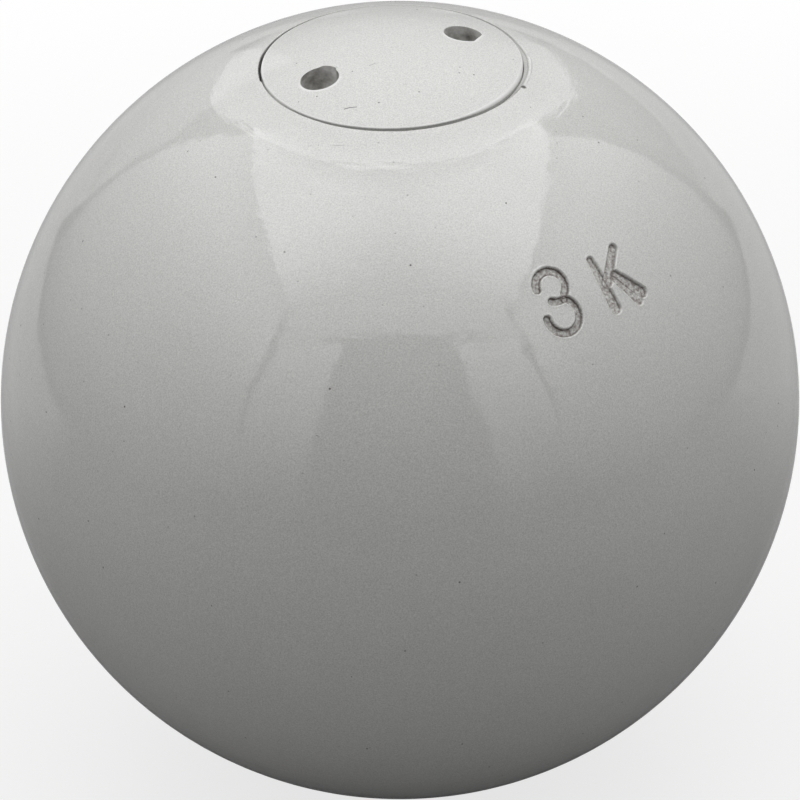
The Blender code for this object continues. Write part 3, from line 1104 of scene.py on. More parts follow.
class SpannerHole:
    """One blind hole, with the enamel rolled into its edge.

    A drip is a stretch of the opening, between two bearings in degrees, that is wider by a length.
    A web is enamel that shuts the opening beyond a straight edge, at a bearing and a distance.
    """

    COLUMNS = 96
    COAT = 0.26 * MM
    # Rings of the wall: how far each is from the opening's size to the drilled one, and how deep in
    # millimetres.
    WALL = ((0.0, 0.04), (0.1, 0.3), (0.8, 1.2), (1.0, 2.0))
    # Rings down to the floor, in millimetres: how far inside the drilled wall, and over the floor.
    FLOOR = ((0.0, 0.45), (0.0, 0.40), (0.08, 0.16), (0.4, 0.0), (1.4, 0.0))

    def __init__(self, skin, bearing, drip=None, web=None):
        plug = bpy.context.scene.shot_plug
        self.skin = skin
        self.plug = plug
        reach = plug.hole_spacing / 2
        self.centre = (reach * math.cos(bearing), reach * math.sin(bearing))
        self.angles = ring_angles(self.COLUMNS)
        uneven = 0.02 * MM * wander(self.angles, 1.5, bearing)
        self.opening = np.full(self.COLUMNS, plug.hole_radius) + uneven
        self.front = window(self.angles, -165.0, -15.0, 25.0)
        self.bend = (0.05 + 0.07 * self.front) * MM
        if drip:
            self.opening = self.opening + drip[2] * window(self.angles, drip[0], drip[1], 7.0)
        if web:
            away = (self.angles - math.radians(web[0]) + math.pi) % (2 * math.pi) - math.pi
            facing = np.cos(away)
            chord = web[1] / np.maximum(facing, 0.2)
            cut = (np.abs(away) < math.pi / 2) & (chord < self.opening)
            self.opening = np.where(cut, chord, self.opening)
            self.bend = np.where(cut, 0.10 * MM, self.bend)
            self.front = np.where(cut, 1.0, self.front)

    def ring(self, across, drop=0.0):
        """Points round the hole that follow the plug's face, some way under it."""
        points = ring_points(across, 0.0, self.angles, self.centre)
        points[:, 2] = dome_height(np.hypot(points[:, 0], points[:, 1])) - drop
        return points

    def painted_lip_highlight(self, points):
        """1 on the painted highlight that runs round the front of the opening, fading over the face."""
        x = points[:, 0] - self.centre[0]
        y = points[:, 1] - self.centre[1]
        turned = np.arctan2(y, x)
        edge = np.interp(turned, self.angles, self.opening + self.bend, period=2 * math.pi)
        beyond = np.hypot(x, y) - edge
        front = np.interp(turned, self.angles, self.front, period=2 * math.pi)
        return front * (1.0 - eased(0.10 * MM, 0.28 * MM, beyond))

    def edge(self):
        """The ring of points in the face where the enamel begins to roll in."""
        return self.ring(self.opening + self.bend)

    def sink(self, edge):
        """The rolled edge, the wall and the floor, below a ring that is in the face already."""
        rows = [edge]
        for turn in np.radians(np.linspace(0.0, 90.0, 7))[1:]:
            across = self.opening + self.bend * (1 - math.sin(turn))
            # The rolled edge carries a painted highlight, most at the front.
            tone = (0.95 * self.front + 0.05) * math.sin(turn)
            rows.append(self.skin.row(self.ring(across, self.bend * (1 - math.cos(turn))), tone))
        drilled = self.plug.hole_radius + self.COAT
        for part, depth in self.WALL:
            across = self.opening + (drilled - self.opening) * part
            rows.append(self.skin.row(self.ring(across, self.bend + depth * MM)))
        painted = len(rows) - len(self.WALL)
        self.skin.sew_all(rows[:painted], 0)
        self.skin.sew_all(rows[painted - 1 :], 2)
        flat = self.level()
        lower = [rows[-1]]
        for inset, lift in self.FLOOR:
            points = ring_points(drilled - inset * MM, flat + lift * MM, self.angles, self.centre)
            lower.append(self.skin.row(points))
        self.skin.sew_all(lower, 2)
        self.skin.close(lower[-1], (*self.centre, flat), 2)

    def level(self):
        """Height of the hole's flat floor."""
        ball = bpy.context.scene.shot_ball.radius
        reach = self.plug.hole_spacing / 2
        return math.sqrt(ball**2 - reach**2) - self.plug.hole_depth


class PlugSkin:
    """The plug's skin: domed face, spanner holes, rim, thread core and spigot."""

    COLUMNS = 240
    FACE_MARGIN = 0.00055
    FACE_SPACING = 0.00075
    # Rings round each hole: how far outside its edge in millimetres, and how many points.
    HOLE_RINGS = ((0.09, 90), (0.20, 84), (0.42, 64), (0.75, 48))
    # The ring inside the face's own outer ring, in the same way.
    RIM_RING = (0.3, 160)

    def __init__(self):
        self.sizes = bpy.context.scene.shot_plug
        self.skin = Skin()

    def face(self, holes):
        """The domed face, sewn by a triangulation. Gives the rings at its rim and at each hole."""
        angles = ring_angles(self.COLUMNS)
        reach = self.sizes.rim_radius - self.FACE_MARGIN
        rings = [ring_points(reach, dome_height(np.full(self.COLUMNS, reach)), angles)]
        rings += [hole.edge() for hole in holes]
        loose = []
        for hole in holes:
            for spread, count in self.HOLE_RINGS:
                turned = ring_angles(count)
                edge = np.interp(turned, hole.angles, hole.opening + hole.bend)
                loose.append(ring_points(edge + spread * MM, 0.0, turned, hole.centre))
        pitch = self.FACE_SPACING
        span = np.arange(-24, 25)
        grid_x, grid_y = np.meshgrid(span * pitch, span * pitch * math.sqrt(3) / 2)
        grid_x = grid_x + (np.arange(len(span)) % 2)[:, None] * pitch / 2
        grid = np.stack([grid_x.ravel(), grid_y.ravel(), np.zeros(grid_x.size)], axis=1)
        keep = np.hypot(grid[:, 0], grid[:, 1]) < reach - 0.45 * MM
        for hole in holes:
            away = np.hypot(grid[:, 0] - hole.centre[0], grid[:, 1] - hole.centre[1])
            keep &= away > self.sizes.hole_radius + 1.25 * MM
        loose.append(grid[keep])
        inset, count = self.RIM_RING
        loose.append(ring_points(reach - inset * MM, 0.0, ring_angles(count)))
        flat = np.concatenate(rings + loose)
        flat[:, 2] = dome_height(np.hypot(flat[:, 0], flat[:, 1]))
        # Round the front of each hole the face carries a painted highlight.
        tone = np.max([hole.painted_lip_highlight(flat) for hole in holes], axis=0)
        numbers = self.skin.row(flat, tone)
        loops = []
        edges = []
        first = 0
        for ring in rings:
            count = len(ring)
            loops += [(first + i, first + (i + 1) % count) for i in range(count)]
            edges.append(numbers[first : first + count])
            first += count
        enlarged = 1 / MM
        places = [Vector((x * enlarged, y * enlarged)) for x, y in flat[:, :2]]
        made = geometry.delaunay_2d_cdt(places, loops, [], 0, 1e-7)
        if len(made[0]) != len(places):
            raise RuntimeError("the plug's face has points that fall together")
        for corners in made[2]:
            middle = flat[list(corners), :2].mean(axis=0)
            if not any(self.inside(hole, middle) for hole in holes):
                self.skin.face(tuple(numbers[i] for i in corners), 0)
        return edges

    @staticmethod
    def inside(hole, place):
        """Whether a place in the face lies in a hole's opening."""
        x = place[0] - hole.centre[0]
        y = place[1] - hole.centre[1]
        edge = np.interp(math.atan2(y, x), hole.angles, hole.opening + hole.bend, period=2 * math.pi)
        return math.hypot(x, y) < edge * 0.999

    def rim(self, outer):
        """The rounded enamelled rim, the plain land, the thread's core and the spigot."""
        sizes = self.sizes
        angles = ring_angles(self.COLUMNS)
        soft = window(angles, -52.0, -4.0, 10.0)
        back = window(angles, 35.0, 150.0, 14.0)
        front = window(angles, -142.0, -20.0, 10.0)
        left = window(angles, 140.0, 188.0, 6.0)
        bend = sizes.rim_round * (1.0 + 1.3 * soft - 0.75 * back)
        edge = sizes.rim_radius - 0.02 * MM * (0.5 + 0.5 * wander(angles, 4.0, 1.7))
        rows = [outer]
        for part in (0.35, 0.7, 1.0):
            across = (edge - bend) * part + (sizes.rim_radius - self.FACE_MARGIN) * (1 - part)
            points = ring_points(across, dome_height(across), angles)
            # The rim on the left carries a painted highlight.
            rows.append(self.skin.row(points, 0.7 * left * part**4))
        top = dome_height(edge - bend)
        for turn in np.radians(np.linspace(0.0, 90.0, 7))[1:]:
            across = edge - bend + bend * math.sin(turn)
            points = ring_points(across, top - bend * (1 - math.cos(turn)), angles)
            # The roll carries a painted highlight, with painted shade behind the plug and at its front
            # foot.
            pale = 0.8 * math.sin(2 * turn) * (1.0 - back) - 0.30 * back * math.sin(turn)
            rows.append(self.skin.row(points, pale - 0.45 * front * math.sin(turn) ** 6))
        land = float(dome_height(sizes.rim_radius)) - sizes.rim_depth
        rows.append(self.skin.row(ring_points(edge, land + 0.3 * MM, angles)))
        self.skin.sew_all(rows, 0)
        chamfer = 0.9 * MM
        outline = [
            (PLUG_BOX[1].x - 0.05 * MM, land),
            (sizes.core_radius, land - 0.8 * MM),
            (sizes.core_radius, sizes.underside + chamfer),
            (sizes.core_radius - chamfer, sizes.underside),
            (sizes.spigot_radius + 0.3 * MM, sizes.underside),
            (sizes.spigot_radius, sizes.underside - 0.2 * MM),
            (sizes.spigot_radius, sizes.spigot_tip + 0.4 * MM),
            (sizes.spigot_radius - 0.4 * MM, sizes.spigot_tip),
            (sizes.spigot_radius / 2, sizes.spigot_tip),
        ]
        lower = [rows[-1]]
        for across, height in outline:
            lower.append(self.skin.row(ring_points(across, height, angles)))
        self.skin.sew_all(lower, 1)
        self.skin.close(lower[-1], (0.0, 0.0, sizes.spigot_tip), 1)

    def build(self, materials):
        """The finished plug, with its exact round shading."""
        bearing = self.sizes.hole_bearing
        near = SpannerHole(self.skin, bearing + math.pi, drip=(36.0, 88.0, 0.26 * MM))
        far = SpannerHole(self.skin, bearing, web=(-23.0, 1.84 * MM))
        edges = self.face([near, far])
        face_count = self.skin.count
        near.sink(edges[1])
        far.sink(edges[2])
        self.rim(edges[0])
        mesh = self.skin.mesh("enamelled_plug", materials)
        points = self.skin.all_points()
        hard_edges(mesh, 38.0)
        plain = np.arange(len(points)) < face_count
        middle = np.array([0.0, 0.0, float(dome_height(0.0)) - self.sizes.face_radius])
        outward = points - middle
        true_normals(mesh, plain, outward / np.linalg.norm(outward, axis=1)[:, None])
        return add_object("enamelled_plug", mesh)


# The thread, swept along its helix by Geometry Nodes


THREAD_INPUTS = {
    "Mesh": "Geometry",
    "Points": "Int",
    "Turns": "Float",
    "Radius": "Float",
    "Rise": "Float",
    "Start": "Vector",
    "Bearing": "Vector",
    "Depth": "Float",
    "Foot width": "Float",
    "Crest width": "Float",
    "Fade": "Float",
    "Finish": "Material",
}


def thread_tree():
    """A node tree that sweeps a ridge along a helix, and fades it out at both ends."""
    tree = bpy.data.node_groups.new("thread_ridge", "GeometryNodeTree")
    for title, kind in THREAD_INPUTS.items():
        tree.interface.new_socket(title, in_out="INPUT", socket_type="NodeSocket" + kind)
    tree.interface.new_socket("Mesh", in_out="OUTPUT", socket_type="NodeSocketGeometry")
    given = tree.nodes.new("NodeGroupInput").outputs
    inputs = {"Resolution": given["Points"], "Rotations": given["Turns"], "Height": given["Rise"]}
    inputs["Start Radius"] = given["Radius"]
    inputs["End Radius"] = given["Radius"]
    helix = put(tree, "GeometryNodeCurveSpiral", inputs).outputs[0]
    inputs = {"Geometry": helix, "Translation": given["Start"], "Rotation": given["Bearing"]}
    placed = put(tree, "GeometryNodeTransform", inputs).outputs[0]
    upright = put(tree, "GeometryNodeSetCurveNormal", {"Curve": placed}, mode="Z_UP").outputs[0]
    along = tree.nodes.new("GeometryNodeSplineParameter").outputs["Factor"]
    thinnest = 0.02
    rising = ranged(tree, along, 0.0, given["Fade"], thinnest)
    falling = ranged(tree, sums(tree, "SUBTRACT", 1.0, along), 0.0, given["Fade"], thinnest)
    fade = sums(tree, "MINIMUM", rising, falling)
    inputs = {"Bottom Width": given["Foot width"], "Top Width": given["Crest width"]}
    inputs["Height"] = given["Depth"]
    inputs["Offset"] = 0.0
    outline = put(tree, "GeometryNodeCurvePrimitiveQuadrilateral", inputs, mode="TRAPEZOID").outputs[0]
    half = times(tree, given["Depth"], 0.5)
    lift = put(tree, "ShaderNodeCombineXYZ", {"Y": half}).outputs[0]
    raised = put(tree, "GeometryNodeTransform", {"Geometry": outline, "Translation": lift}).outputs[0]
    inputs = {"Geometry": raised, "Rotation": (0.0, 0.0, math.pi / 2)}
    profile = put(tree, "GeometryNodeTransform", inputs).outputs[0]
    inputs = {"Curve": upright, "Profile Curve": profile, "Scale": fade, "Fill Caps": True}
    swept = put(tree, "GeometryNodeCurveToMesh", inputs).outputs[0]
    real = put(tree, "GeometryNodeRealizeInstances", {"Geometry": swept}).outputs[0]
    inputs = {"Geometry": real, "Material": given["Finish"]}
    finished = put(tree, "GeometryNodeSetMaterial", inputs).outputs[0]
    put(tree, "NodeGroupOutput", {"Mesh": finished})
    return tree


def set_inputs(modifier, values):
    """Sets a node modifier's inputs by their sockets' identifiers."""
    for item in modifier.node_group.interface.items_tree:
        if item.item_type == "SOCKET" and item.in_out == "INPUT" and item.name in values:
            modifier[item.identifier] = values[item.name]


def swept_thread(name, radius, depth, start, end, half_turn, finish):
    """One thread's ridge as a plain mesh. A negative depth points the ridge at the axis."""
    sizes = bpy.context.scene.shot_thread
    carrier = add_object(name + "_carrier", bpy.data.meshes.new(name))
    modifier = carrier.modifiers.new("thread", "NODES")
    modifier.node_group = bpy.data.node_groups.get("thread_ridge") or thread_tree()
    turns = (end - start) / sizes.pitch
    fading_turns = 0.3
    values = {
        "Points": sizes.points,
        "Turns": turns,
        "Radius": radius,
        "Rise": end - start,
        "Start": (0.0, 0.0, start),
        "Bearing": (0.0, 0.0, 2 * math.pi * (start / sizes.pitch + half_turn)),
        "Depth": depth,
        "Foot width": sizes.root_width,
        "Crest width": sizes.crest_width,
        "Fade": fading_turns / turns,
        "Finish": finish,
    }
    set_inputs(modifier, values)
    shaped = carrier.evaluated_get(bpy.context.evaluated_depsgraph_get())
    mesh = bpy.data.meshes.new_from_object(shaped)
    mesh.name = name
    bpy.data.objects.remove(carrier)
    face_outwards(mesh, merged=1e-7)
    hard_edges(mesh, 25.0)
    return add_object(name, mesh)


# Turned pieces of the pack


def turned_piece(name, outline, finish, steps=120, wobble=0.0, centre=None):
    """A piece turned from points (radius, height). With no centre's height, it is a ring."""
    skin = Skin()
    angles = ring_angles(steps)
    rows = []
    for across, height in outline:
        points = ring_points(np.full(steps, across), height, angles)
        if wobble:
            shift = noise_at(points, WOBBLE_SCALE)
            points[:, :2] *= (1.0 - wobble * (0.5 + 0.5 * shift) / max(across, wobble))[:, None]
            points[:, 2] += np.copysign(wobble, centre - points[:, 2]) * (0.25 + 0.25 * shift)
        rows.append(skin.row(points))
    skin.sew_all(rows)
    if centre is None:
        skin.sew(rows[-1], rows[0])
    else:
        skin.close(rows[0], (0.0, 0.0, outline[0][1]))
        skin.close(rows[-1], (0.0, 0.0, outline[-1][1]))
    mesh = skin.mesh(name, [finish])
    hard_edges(mesh, 40.0)
    return add_object(name, mesh)


def disc_outline(low, high, edge, crown=0.0, bulge=0.0):
    """Points from the middle of the top to the middle of the bottom, with rounded edges."""
    radius = high.x
    tall = high.z - low.z
    edge = min(edge, tall * 0.45)
    rings = (0.08, 0.35, 0.62, 0.82)
    outline = [(radius * part, high.z - crown * part**2) for part in rings]
    for turn in np.radians(np.linspace(0.0, 90.0, 5)):
        across = radius - edge - bulge + edge * math.sin(turn)
        outline.append((across, high.z - crown - edge * (1 - math.cos(turn))))
    if bulge:
        outline.append((radius, (low.z + high.z) / 2))
    for turn in np.radians(np.linspace(90.0, 0.0, 5)):
        across = radius - edge - bulge + edge * math.sin(turn)
        outline.append((across, low.z + crown + edge * (1 - math.cos(turn))))
    outline += [(radius * part, low.z + crown * part**2) for part in reversed(rings)]
    return outline


def pack_piece(name, node, finish, slot, edge, wobble=0.0, steps=120, **shape):
    """One disc or cylinder of the pack, inside its CAD node's box."""
    low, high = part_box(node)
    outline = disc_outline(low, high, edge, **shape)
    piece = turned_piece(name, outline, finish, steps, wobble, (low.z + high.z) / 2)
    hold(piece, "ball", slot, node)


# The studio


def panel_lamp(
    name,
    centre,
    facing,
    size,
    brightness,
    shape="RECTANGLE",
    lean=0.0,
    reached=1.0,
    mask=None,
    mirrored=True,
    lights=True,
):
    """A soft panel: a flat lamp whose brightness goes from its foot to its top, where 1 is white.

    It reaches its second brightness at a part of its height. A mask dims it from place to place.
    """
    data = bpy.data.lights.new(name, "AREA")
    data.shape = shape
    data.size, data.size_y = size
    fill = math.pi / 4 if shape == "ELLIPSE" else 1.0
    data.energy = math.pi * size[0] * size[1] * fill
    data.use_nodes = True
    tree = data.node_tree
    spot = tree.nodes.new("ShaderNodeNewGeometry").outputs["Parametric"]
    spot = put(tree, "ShaderNodeSeparateXYZ", {0: spot}).outputs
    level = ranged(tree, spot["Y"], 0.0, reached, *brightness)
    if mask:
        level = times(tree, level, mask(tree, spot))
    tree.links.new(level, tree.nodes["Emission"].inputs["Strength"])
    lamp = bpy.data.objects.new(name, data)
    turned = Vector(facing).to_track_quat("-Z", "Y").to_matrix().to_4x4()
    lamp.matrix_world = Matrix.Translation(centre) @ turned @ Matrix.Rotation(lean, 4, "Z")
    lamp.visible_camera = False
    lamp.visible_glossy = mirrored
    lamp.visible_diffuse = lights
    bpy.context.scene.collection.objects.link(lamp)


def flat_panel(name, square_to, place, first, second, brightness, **other):
    """A rectangular panel square to one axis, facing the middle, between two spans along the others."""
    axis = "XYZ".index(square_to)
    centre = [0.0, 0.0, 0.0]
    centre[axis] = place
    others = [i for i in range(3) if i != axis]
    for i, span in zip(others, (first, second)):
        centre[i] = (span[0] + span[1]) / 2
    facing = [0.0, 0.0, 0.0]
    facing[axis] = -math.copysign(1.0, place)
    size = (first[1] - first[0], second[1] - second[0])
    panel_lamp(name, centre, facing, size, brightness, **other)


def ceiling_place(tree, spot):
    """Where a spot on the ceiling is, in metres across and along."""
    across = ranged(tree, spot["X"], 0.0, 1.0, *CEILING_X)
    return across, ranged(tree, spot["Y"], 0.0, 1.0, *CEILING_Y)


def ceiling_outline(tree, spot):
    """1 on the ceiling, dimmer near the rear panel's rim, which is a curve in it, and 0 behind that."""
    across, along = ceiling_place(tree, spot)
    rim = times(tree, across, across, CEILING_CURVE)
    before_rim = sums(tree, "SUBTRACT", sums(tree, "ADD", rim, CEILING_REAR), along)
    on_ceiling = sums(tree, "GREATER_THAN", before_rim, 0.0)
    return times(tree, on_ceiling, ranged(tree, before_rim, 0.0, 0.060, 0.50, 1.0))


def ceiling_sheen(tree, spot):
    """What the gloss finds more on the ceiling: most at both sides of its front half."""
    across, along = ceiling_place(tree, spot)
    aside = ranged(tree, sums(tree, "ABSOLUTE", across), 0.0, 0.20, 0.40, 1.0)
    rear_end = ranged(tree, along, 0.07, -0.05)
    front_end = ranged(tree, along, -0.24, -0.12, 0.50, 1.0)
    return times(tree, aside, times(tree, rear_end, front_end))


def wall_light(tree, spot):
    """A wall's brightness over its height: more in its upper half, but less close to its top."""
    risen = ranged(tree, spot["Y"], 0.40, 0.60, 1.0, 1.28)
    return times(tree, risen, ranged(tree, spot["Y"], 0.74, 0.99, 1.0, 0.64))


def rear_rim(tree, spot):
    """The rear panel's brightness: highest along its rim, which is narrower at its foot."""
    narrower = ranged(tree, spot["Y"], 0.12, 0.38, 1.23, 1.0)
    across = times(tree, sums(tree, "SUBTRACT", spot["X"], 0.5), narrower)
    along = sums(tree, "SUBTRACT", spot["Y"], 0.5)
    reach = sums(tree, "ADD", times(tree, across, across), times(tree, along, along))
    inside = ranged(tree, reach, 0.25, 0.235)
    return times(tree, inside, ranged(tree, reach, 0.14, 0.24, 0.92, 1.40))


def light_tent():
    """A small light tent, half a metre wide: its walls, ceiling, front strips and round rear panel."""
    studio = bpy.context.scene.shot_studio
    spans = (CEILING_X, CEILING_Y)
    reached = (CEILING_REAR - CEILING_Y[0]) / (CEILING_Y[1] - CEILING_Y[0])
    over = CEILING_HEIGHT
    flat_panel("ceiling", "Z", over, *spans, studio.ceiling, reached=reached, mask=ceiling_outline)
    over += 1.0 * MM
    flat_panel("ceiling_sheen", "Z", over, *spans, studio.sheen, lights=False, mask=ceiling_sheen)
    flat_panel("front_flap", "Y", -0.245, (-0.240, 0.240), (0.268, 0.389), studio.flap, lights=False)
    flat_panel("left_wall", "X", -0.250, (-0.240, 0.263), (-0.022, 0.394), studio.left, mask=wall_light)
    flat_panel("right_wall", "X", 0.250, (-0.243, 0.230), (-0.010, 0.345), studio.right, mask=wall_light)
    lean = math.radians(-7.0)
    strip = (-0.020, 0.262)
    flat_panel("front_left", "Y", -0.246, (-0.242, -0.107), strip, studio.front_left, lean=lean)
    flat_panel("front_right", "Y", -0.246, (0.107, 0.242), strip, studio.front_right, lean=-lean)
    slope = math.radians(40.0)
    rear = Vector((0.0, math.cos(slope), math.sin(slope)))
    size = (1.13 * REAR_REACH, 1.80 * REAR_REACH)
    raised = 0.020
    centre = rear * REAR_REACH + Vector((0.0, -rear.z, rear.y)) * raised
    panel_lamp("rear_panel", centre, -rear, size, studio.rear, shape="ELLIPSE", mask=rear_rim)
    left_corner = ((-0.376, -0.120), (0.030, 0.260))
    flat_panel("rear_left", "Y", REAR_REACH, *left_corner, studio.rear_left, lights=False)
    right_corner = ((0.120, 0.400), (0.020, 0.260))
    flat_panel("rear_right", "Y", REAR_REACH, *right_corner, studio.rear_right, lights=False)
    table = (-0.60, -0.10)
    flat_panel("table_left", "Z", TABLE_HEIGHT, (-0.5, 0.0), table, studio.table_left, mirrored=False)
    flat_panel("table_right", "Z", TABLE_HEIGHT, (0.0, 0.5), table, studio.table_right, mirrored=False)


def between(tree, value, rise, fall):
    """1 between two soft ends, each given as the lower and the higher value where it changes."""
    return times(tree, ranged(tree, value, *rise), ranged(tree, value, fall[1], fall[0]))


def table_gleam(tree, place):
    """How much white the gloss finds on the table: a little in front, most at its far half's sides."""
    studio = bpy.context.scene.shot_studio
    parts = put(tree, "ShaderNodeSeparateXYZ", {0: place}).outputs
    x = parts["X"]
    y = parts["Y"]
    bearing = sums(tree, "DIVIDE", x, highest(tree, y, 0.1))
    in_tent = between(tree, x, (-0.290, -0.275), (0.370, 0.385))
    past_walls = between(tree, bearing, (-0.735, -0.715), (0.78, 0.80))
    past_walls = times(tree, ranged(tree, y, 0.30, 0.42), past_walls)
    inside = highest(tree, in_tent, past_walls)
    aside = times(tree, ranged(tree, sums(tree, "ABSOLUTE", x), 0.03, 0.11), inside)
    middle = times(tree, ranged(tree, y, 0.14, 0.34, 0.60, 0.48), inside)
    far = times(tree, highest(tree, aside, middle), ranged(tree, y, 0.015, 0.085), studio.gleam)
    near = ranged(tree, y, -0.07, 0.0, studio.mirrored, 0.05)
    return sums(tree, "ADD", far, near)


def seen_ground(tree, part):
    """1 for the rays that look at the background: the camera's and those through it, a part for gloss."""
    rays = tree.nodes.new("ShaderNodeLightPath").outputs
    mirrored = times(tree, rays["Is Glossy Ray"], part)
    return highest(tree, rays["Is Camera Ray"], rays["Is Transmission Ray"], mirrored)


def floor_finish():
    """A plain floor: white to the eye but for the object's shadow, and a grey table to its light."""
    made, tree, shader, place = new_material("studio_floor", Roughness=1.0, Specular_IOR_Level=0.0)
    ground = bpy.context.scene.shot_studio.ground
    seen = seen_ground(tree, table_gleam(tree, place))
    away = put(tree, "ShaderNodeVectorMath", {0: place}, operation="LENGTH").outputs["Value"]
    shaded = ranged(tree, away, 0.12, 0.21, 0.24, 0.0)
    pale = put(tree, "ShaderNodeCombineColor", {0: shaded, 1: shaded, 2: shaded}).outputs[0]
    connect(tree, shader, Base_Color=blend_colours(tree, seen, (ground, ground, ground), pale))
    glowing = times(tree, seen, sums(tree, "SUBTRACT", 1.0, shaded))
    glow = put(tree, "ShaderNodeEmission", {"Strength": glowing}).outputs[0]
    both = put(tree, "ShaderNodeAddShader", {0: shader.outputs[0], 1: glow}).outputs[0]
    tree.links.new(both, tree.nodes["Material Output"].inputs["Surface"])
    return made


def set_world():
    """White behind everything for the rays that look at it, and the room's own light for the rest."""
    studio = bpy.context.scene.shot_studio
    world = bpy.data.worlds.new("studio")
    world.use_nodes = True
    tree = world.node_tree
    room = (studio.sky, studio.sky, studio.sky)
    tone = blend_colours(tree, seen_ground(tree, studio.mirrored), room, (1.0, 1.0, 1.0))
    tree.links.new(tone, tree.nodes["Background"].inputs["Color"])
    bpy.context.scene.world = world


# Operators


class BuildStep:
    """What every step of the build shares."""

    bl_options = {"REGISTER", "UNDO"}


class SHOT_OT_ball(BuildStep, bpy.types.Operator):
    """Build the enamelled ball with its stamp, its mouth and its bored chamber"""

    bl_idname = "shot.ball"
    bl_label = "Enamelled ball"

    def execute(self, context):
        piece = BallSkin().build([finish_of("ball_enamel"), finish_of("bored_iron")])
        hold(piece, "ball", "enamelled_iron", "iron_shell")
        return {"FINISHED"}


class SHOT_OT_ball_thread(BuildStep, bpy.types.Operator):
    """Cut the internal thread in the ball's mouth"""

    bl_idname = "shot.ball_thread"
    bl_label = "Internal thread"

    def execute(self, context):
        ball = context.scene.shot_ball
        foot = ball.bore_radius + THREAD_SUNK
        depth = ball.ridge_radius - foot
        start = ball.relief_top + 0.1 * MM
        iron = finish_of("bored_iron")
        piece = swept_thread("internal_thread", foot, depth, start, BALL_THREAD_TOP, 0.5, iron)
        hold(piece, "ball", "enamelled_iron", "iron_shell")
        return {"FINISHED"}


class SHOT_OT_plug(BuildStep, bpy.types.Operator):
    """Build the domed plug with its two spanner holes, its rim and its spigot"""

    bl_idname = "shot.plug"
    bl_label = "Screwed plug"

    def execute(self, context):
        finishes = [finish_of(name) for name in ("plug_enamel", "turned_steel", "hole_overspray_and_shade")]
        piece = PlugSkin().build(finishes)
        hold(piece, "plug", "enamelled_steel", "filling_plug")
        return {"FINISHED"}


class SHOT_OT_plug_thread(BuildStep, bpy.types.Operator):
    """Cut the external thread on the plug's side"""

    bl_idname = "shot.plug_thread"
    bl_label = "External thread"

    def execute(self, context):
        plug = context.scene.shot_plug
        foot = plug.core_radius - THREAD_SUNK
        depth = PLUG_BOX[1].x - foot
        start = plug.underside + 1.0 * MM
        steel = finish_of("turned_steel")
        piece = swept_thread("external_thread", foot, depth, start, PLUG_THREAD_TOP, 0.0, steel)
        hold(piece, "plug", "enamelled_steel", "filling_plug")
        return {"FINISHED"}


class SHOT_OT_washer(BuildStep, bpy.types.Operator):
    """Build the fibre washer under the plug"""

    bl_idname = "shot.washer"
    bl_label = "Sealing washer"

    def execute(self, context):
        low, high = WASHER_BOX
        width = 4.0 * MM
        inner = high.x - width
        edge = 0.2 * MM
        outline = [
            (inner, low.z + edge),
            (inner, high.z - edge),
            (inner + edge, high.z),
            (inner + 1.3 * MM, high.z),
            (inner + 2.6 * MM, high.z - 0.04 * MM),
            (high.x - edge, high.z - 0.02 * MM),
            (high.x, high.z - edge),
            (high.x, low.z + edge),
            (high.x - edge, low.z),
            (inner + 2.6 * MM, low.z + 0.03 * MM),
            (inner + edge, low.z),
        ]
        piece = turned_piece("fibre_washer", outline, finish_of("vulcanised_fibre"))
        hold(piece, "washer", "vulcanised_fibre", "sealing_washer")
        return {"FINISHED"}


class SHOT_OT_lead(BuildStep, bpy.types.Operator):
    """Build the ten lead discs"""

    bl_idname = "shot.lead"
    bl_label = "Lead discs"

    def execute(self, context):
        lead = finish_of("cast_lead")
        for node in BALLAST_NAMES + TRIM_NAMES:
            pack_piece("cast_" + node, node, lead, "lead", 0.35 * MM, 0.05 * MM, 96, crown=0.02 * MM)
        return {"FINISHED"}


class SHOT_OT_packing(BuildStep, bpy.types.Operator):
    """Build the felt pads and the beech spacers"""

    bl_idname = "shot.packing"
    bl_label = "Felt and beech"

    def execute(self, context):
        felt = finish_of("wool_felt")
        pressed = {"crown": 0.12 * MM, "bulge": 0.18 * MM}
        for node in FELT_NAMES:
            pack_piece("pressed_" + node, node, felt, "wool_felt", 0.7 * MM, 0.12 * MM, **pressed)
        beech = finish_of("turned_beech")
        for node in SPACER_NAMES:
            pack_piece("turned_" + node, node, beech, "beech", 0.9 * MM)
        return {"FINISHED"}


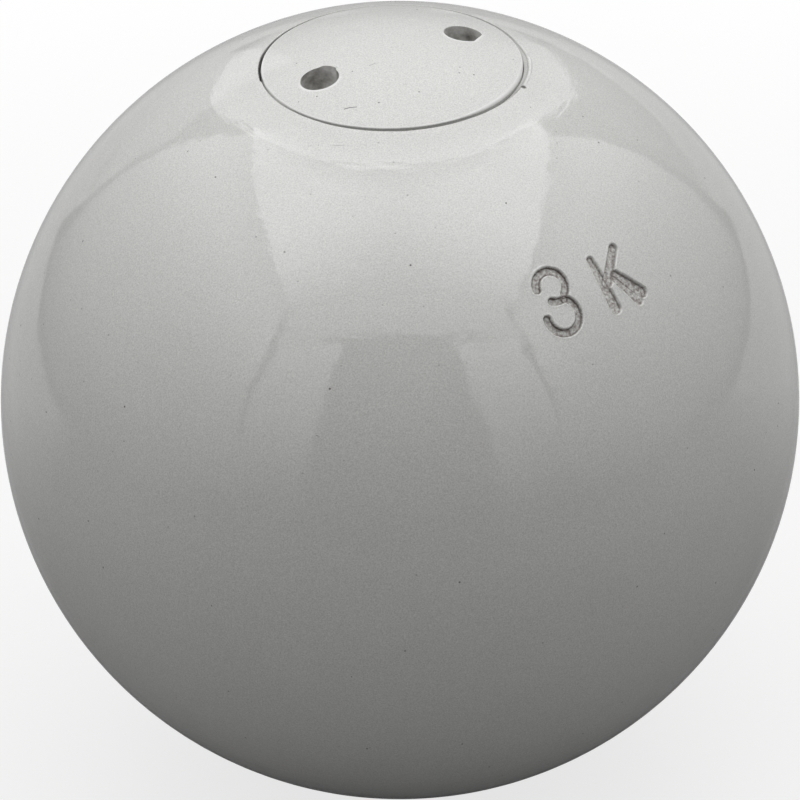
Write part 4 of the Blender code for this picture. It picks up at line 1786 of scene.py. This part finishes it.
class SHOT_OT_stage(BuildStep, bpy.types.Operator):
    """Set the floor, the soft boxes and the camera"""

    bl_idname = "shot.stage"
    bl_label = "Stage"

    def execute(self, context):
        scene = context.scene
        studio = scene.shot_studio
        level = CAD_BOX[0].z
        signs = ((-1, -1), (1, -1), (1, 1), (-1, 1))
        skin = Skin()
        corners = [(x * FLOOR_REACH, y * FLOOR_REACH, level) for x, y in signs]
        skin.face(tuple(skin.row(corners)), 0)
        floor = add_object("studio_floor", skin.mesh("studio_floor", [floor_finish()]))
        set_world()
        light_tent()
        data = bpy.data.cameras.new("camera")
        data.lens = studio.lens
        data.sensor_width = 36.0
        data.clip_start = 0.05
        data.clip_end = 30.0
        camera = bpy.data.objects.new("camera", data)
        scene.collection.objects.link(camera)
        away = Vector((0.0, -math.cos(studio.elevation), math.sin(studio.elevation)))
        pitch = Matrix.Rotation(math.pi / 2 - studio.elevation, 4, "X")
        lean = Matrix.Rotation(studio.roll, 4, "Z")
        camera.matrix_world = Matrix.Translation(away * studio.distance) @ pitch @ lean
        scene.camera = camera
        scene.view_settings.view_transform = "Standard"
        return {"FINISHED"}


STEPS = [
    SHOT_OT_ball,
    SHOT_OT_ball_thread,
    SHOT_OT_plug,
    SHOT_OT_plug_thread,
    SHOT_OT_washer,
    SHOT_OT_lead,
    SHOT_OT_packing,
    SHOT_OT_stage,
]


class SHOT_PT_build(bpy.types.Panel):
    """The steps of the build, in order"""

    bl_idname = "SHOT_PT_build"
    bl_label = "Shot"
    bl_space_type = "VIEW_3D"
    bl_region_type = "UI"
    bl_category = "Shot"

    def draw(self, context):
        for step in STEPS:
            self.layout.operator(step.bl_idname)


def register():
    for name, group in PROPERTY_GROUPS.items():
        bpy.utils.register_class(group)
        setattr(bpy.types.Scene, name, PointerProperty(type=group))
    for step in STEPS:
        bpy.utils.register_class(step)
    bpy.utils.register_class(SHOT_PT_build)


def unregister():
    bpy.utils.unregister_class(SHOT_PT_build)
    for step in reversed(STEPS):
        bpy.utils.unregister_class(step)
    for name, group in reversed(PROPERTY_GROUPS.items()):
        delattr(bpy.types.Scene, name)
        bpy.utils.unregister_class(group)


def main():
    register()
    bpy.ops.shot.ball()
    bpy.ops.shot.ball_thread()
    bpy.ops.shot.plug()
    bpy.ops.shot.plug_thread()
    bpy.ops.shot.washer()
    bpy.ops.shot.lead()
    bpy.ops.shot.packing()
    bpy.ops.shot.stage()


if __name__ == "__main__":
    main()
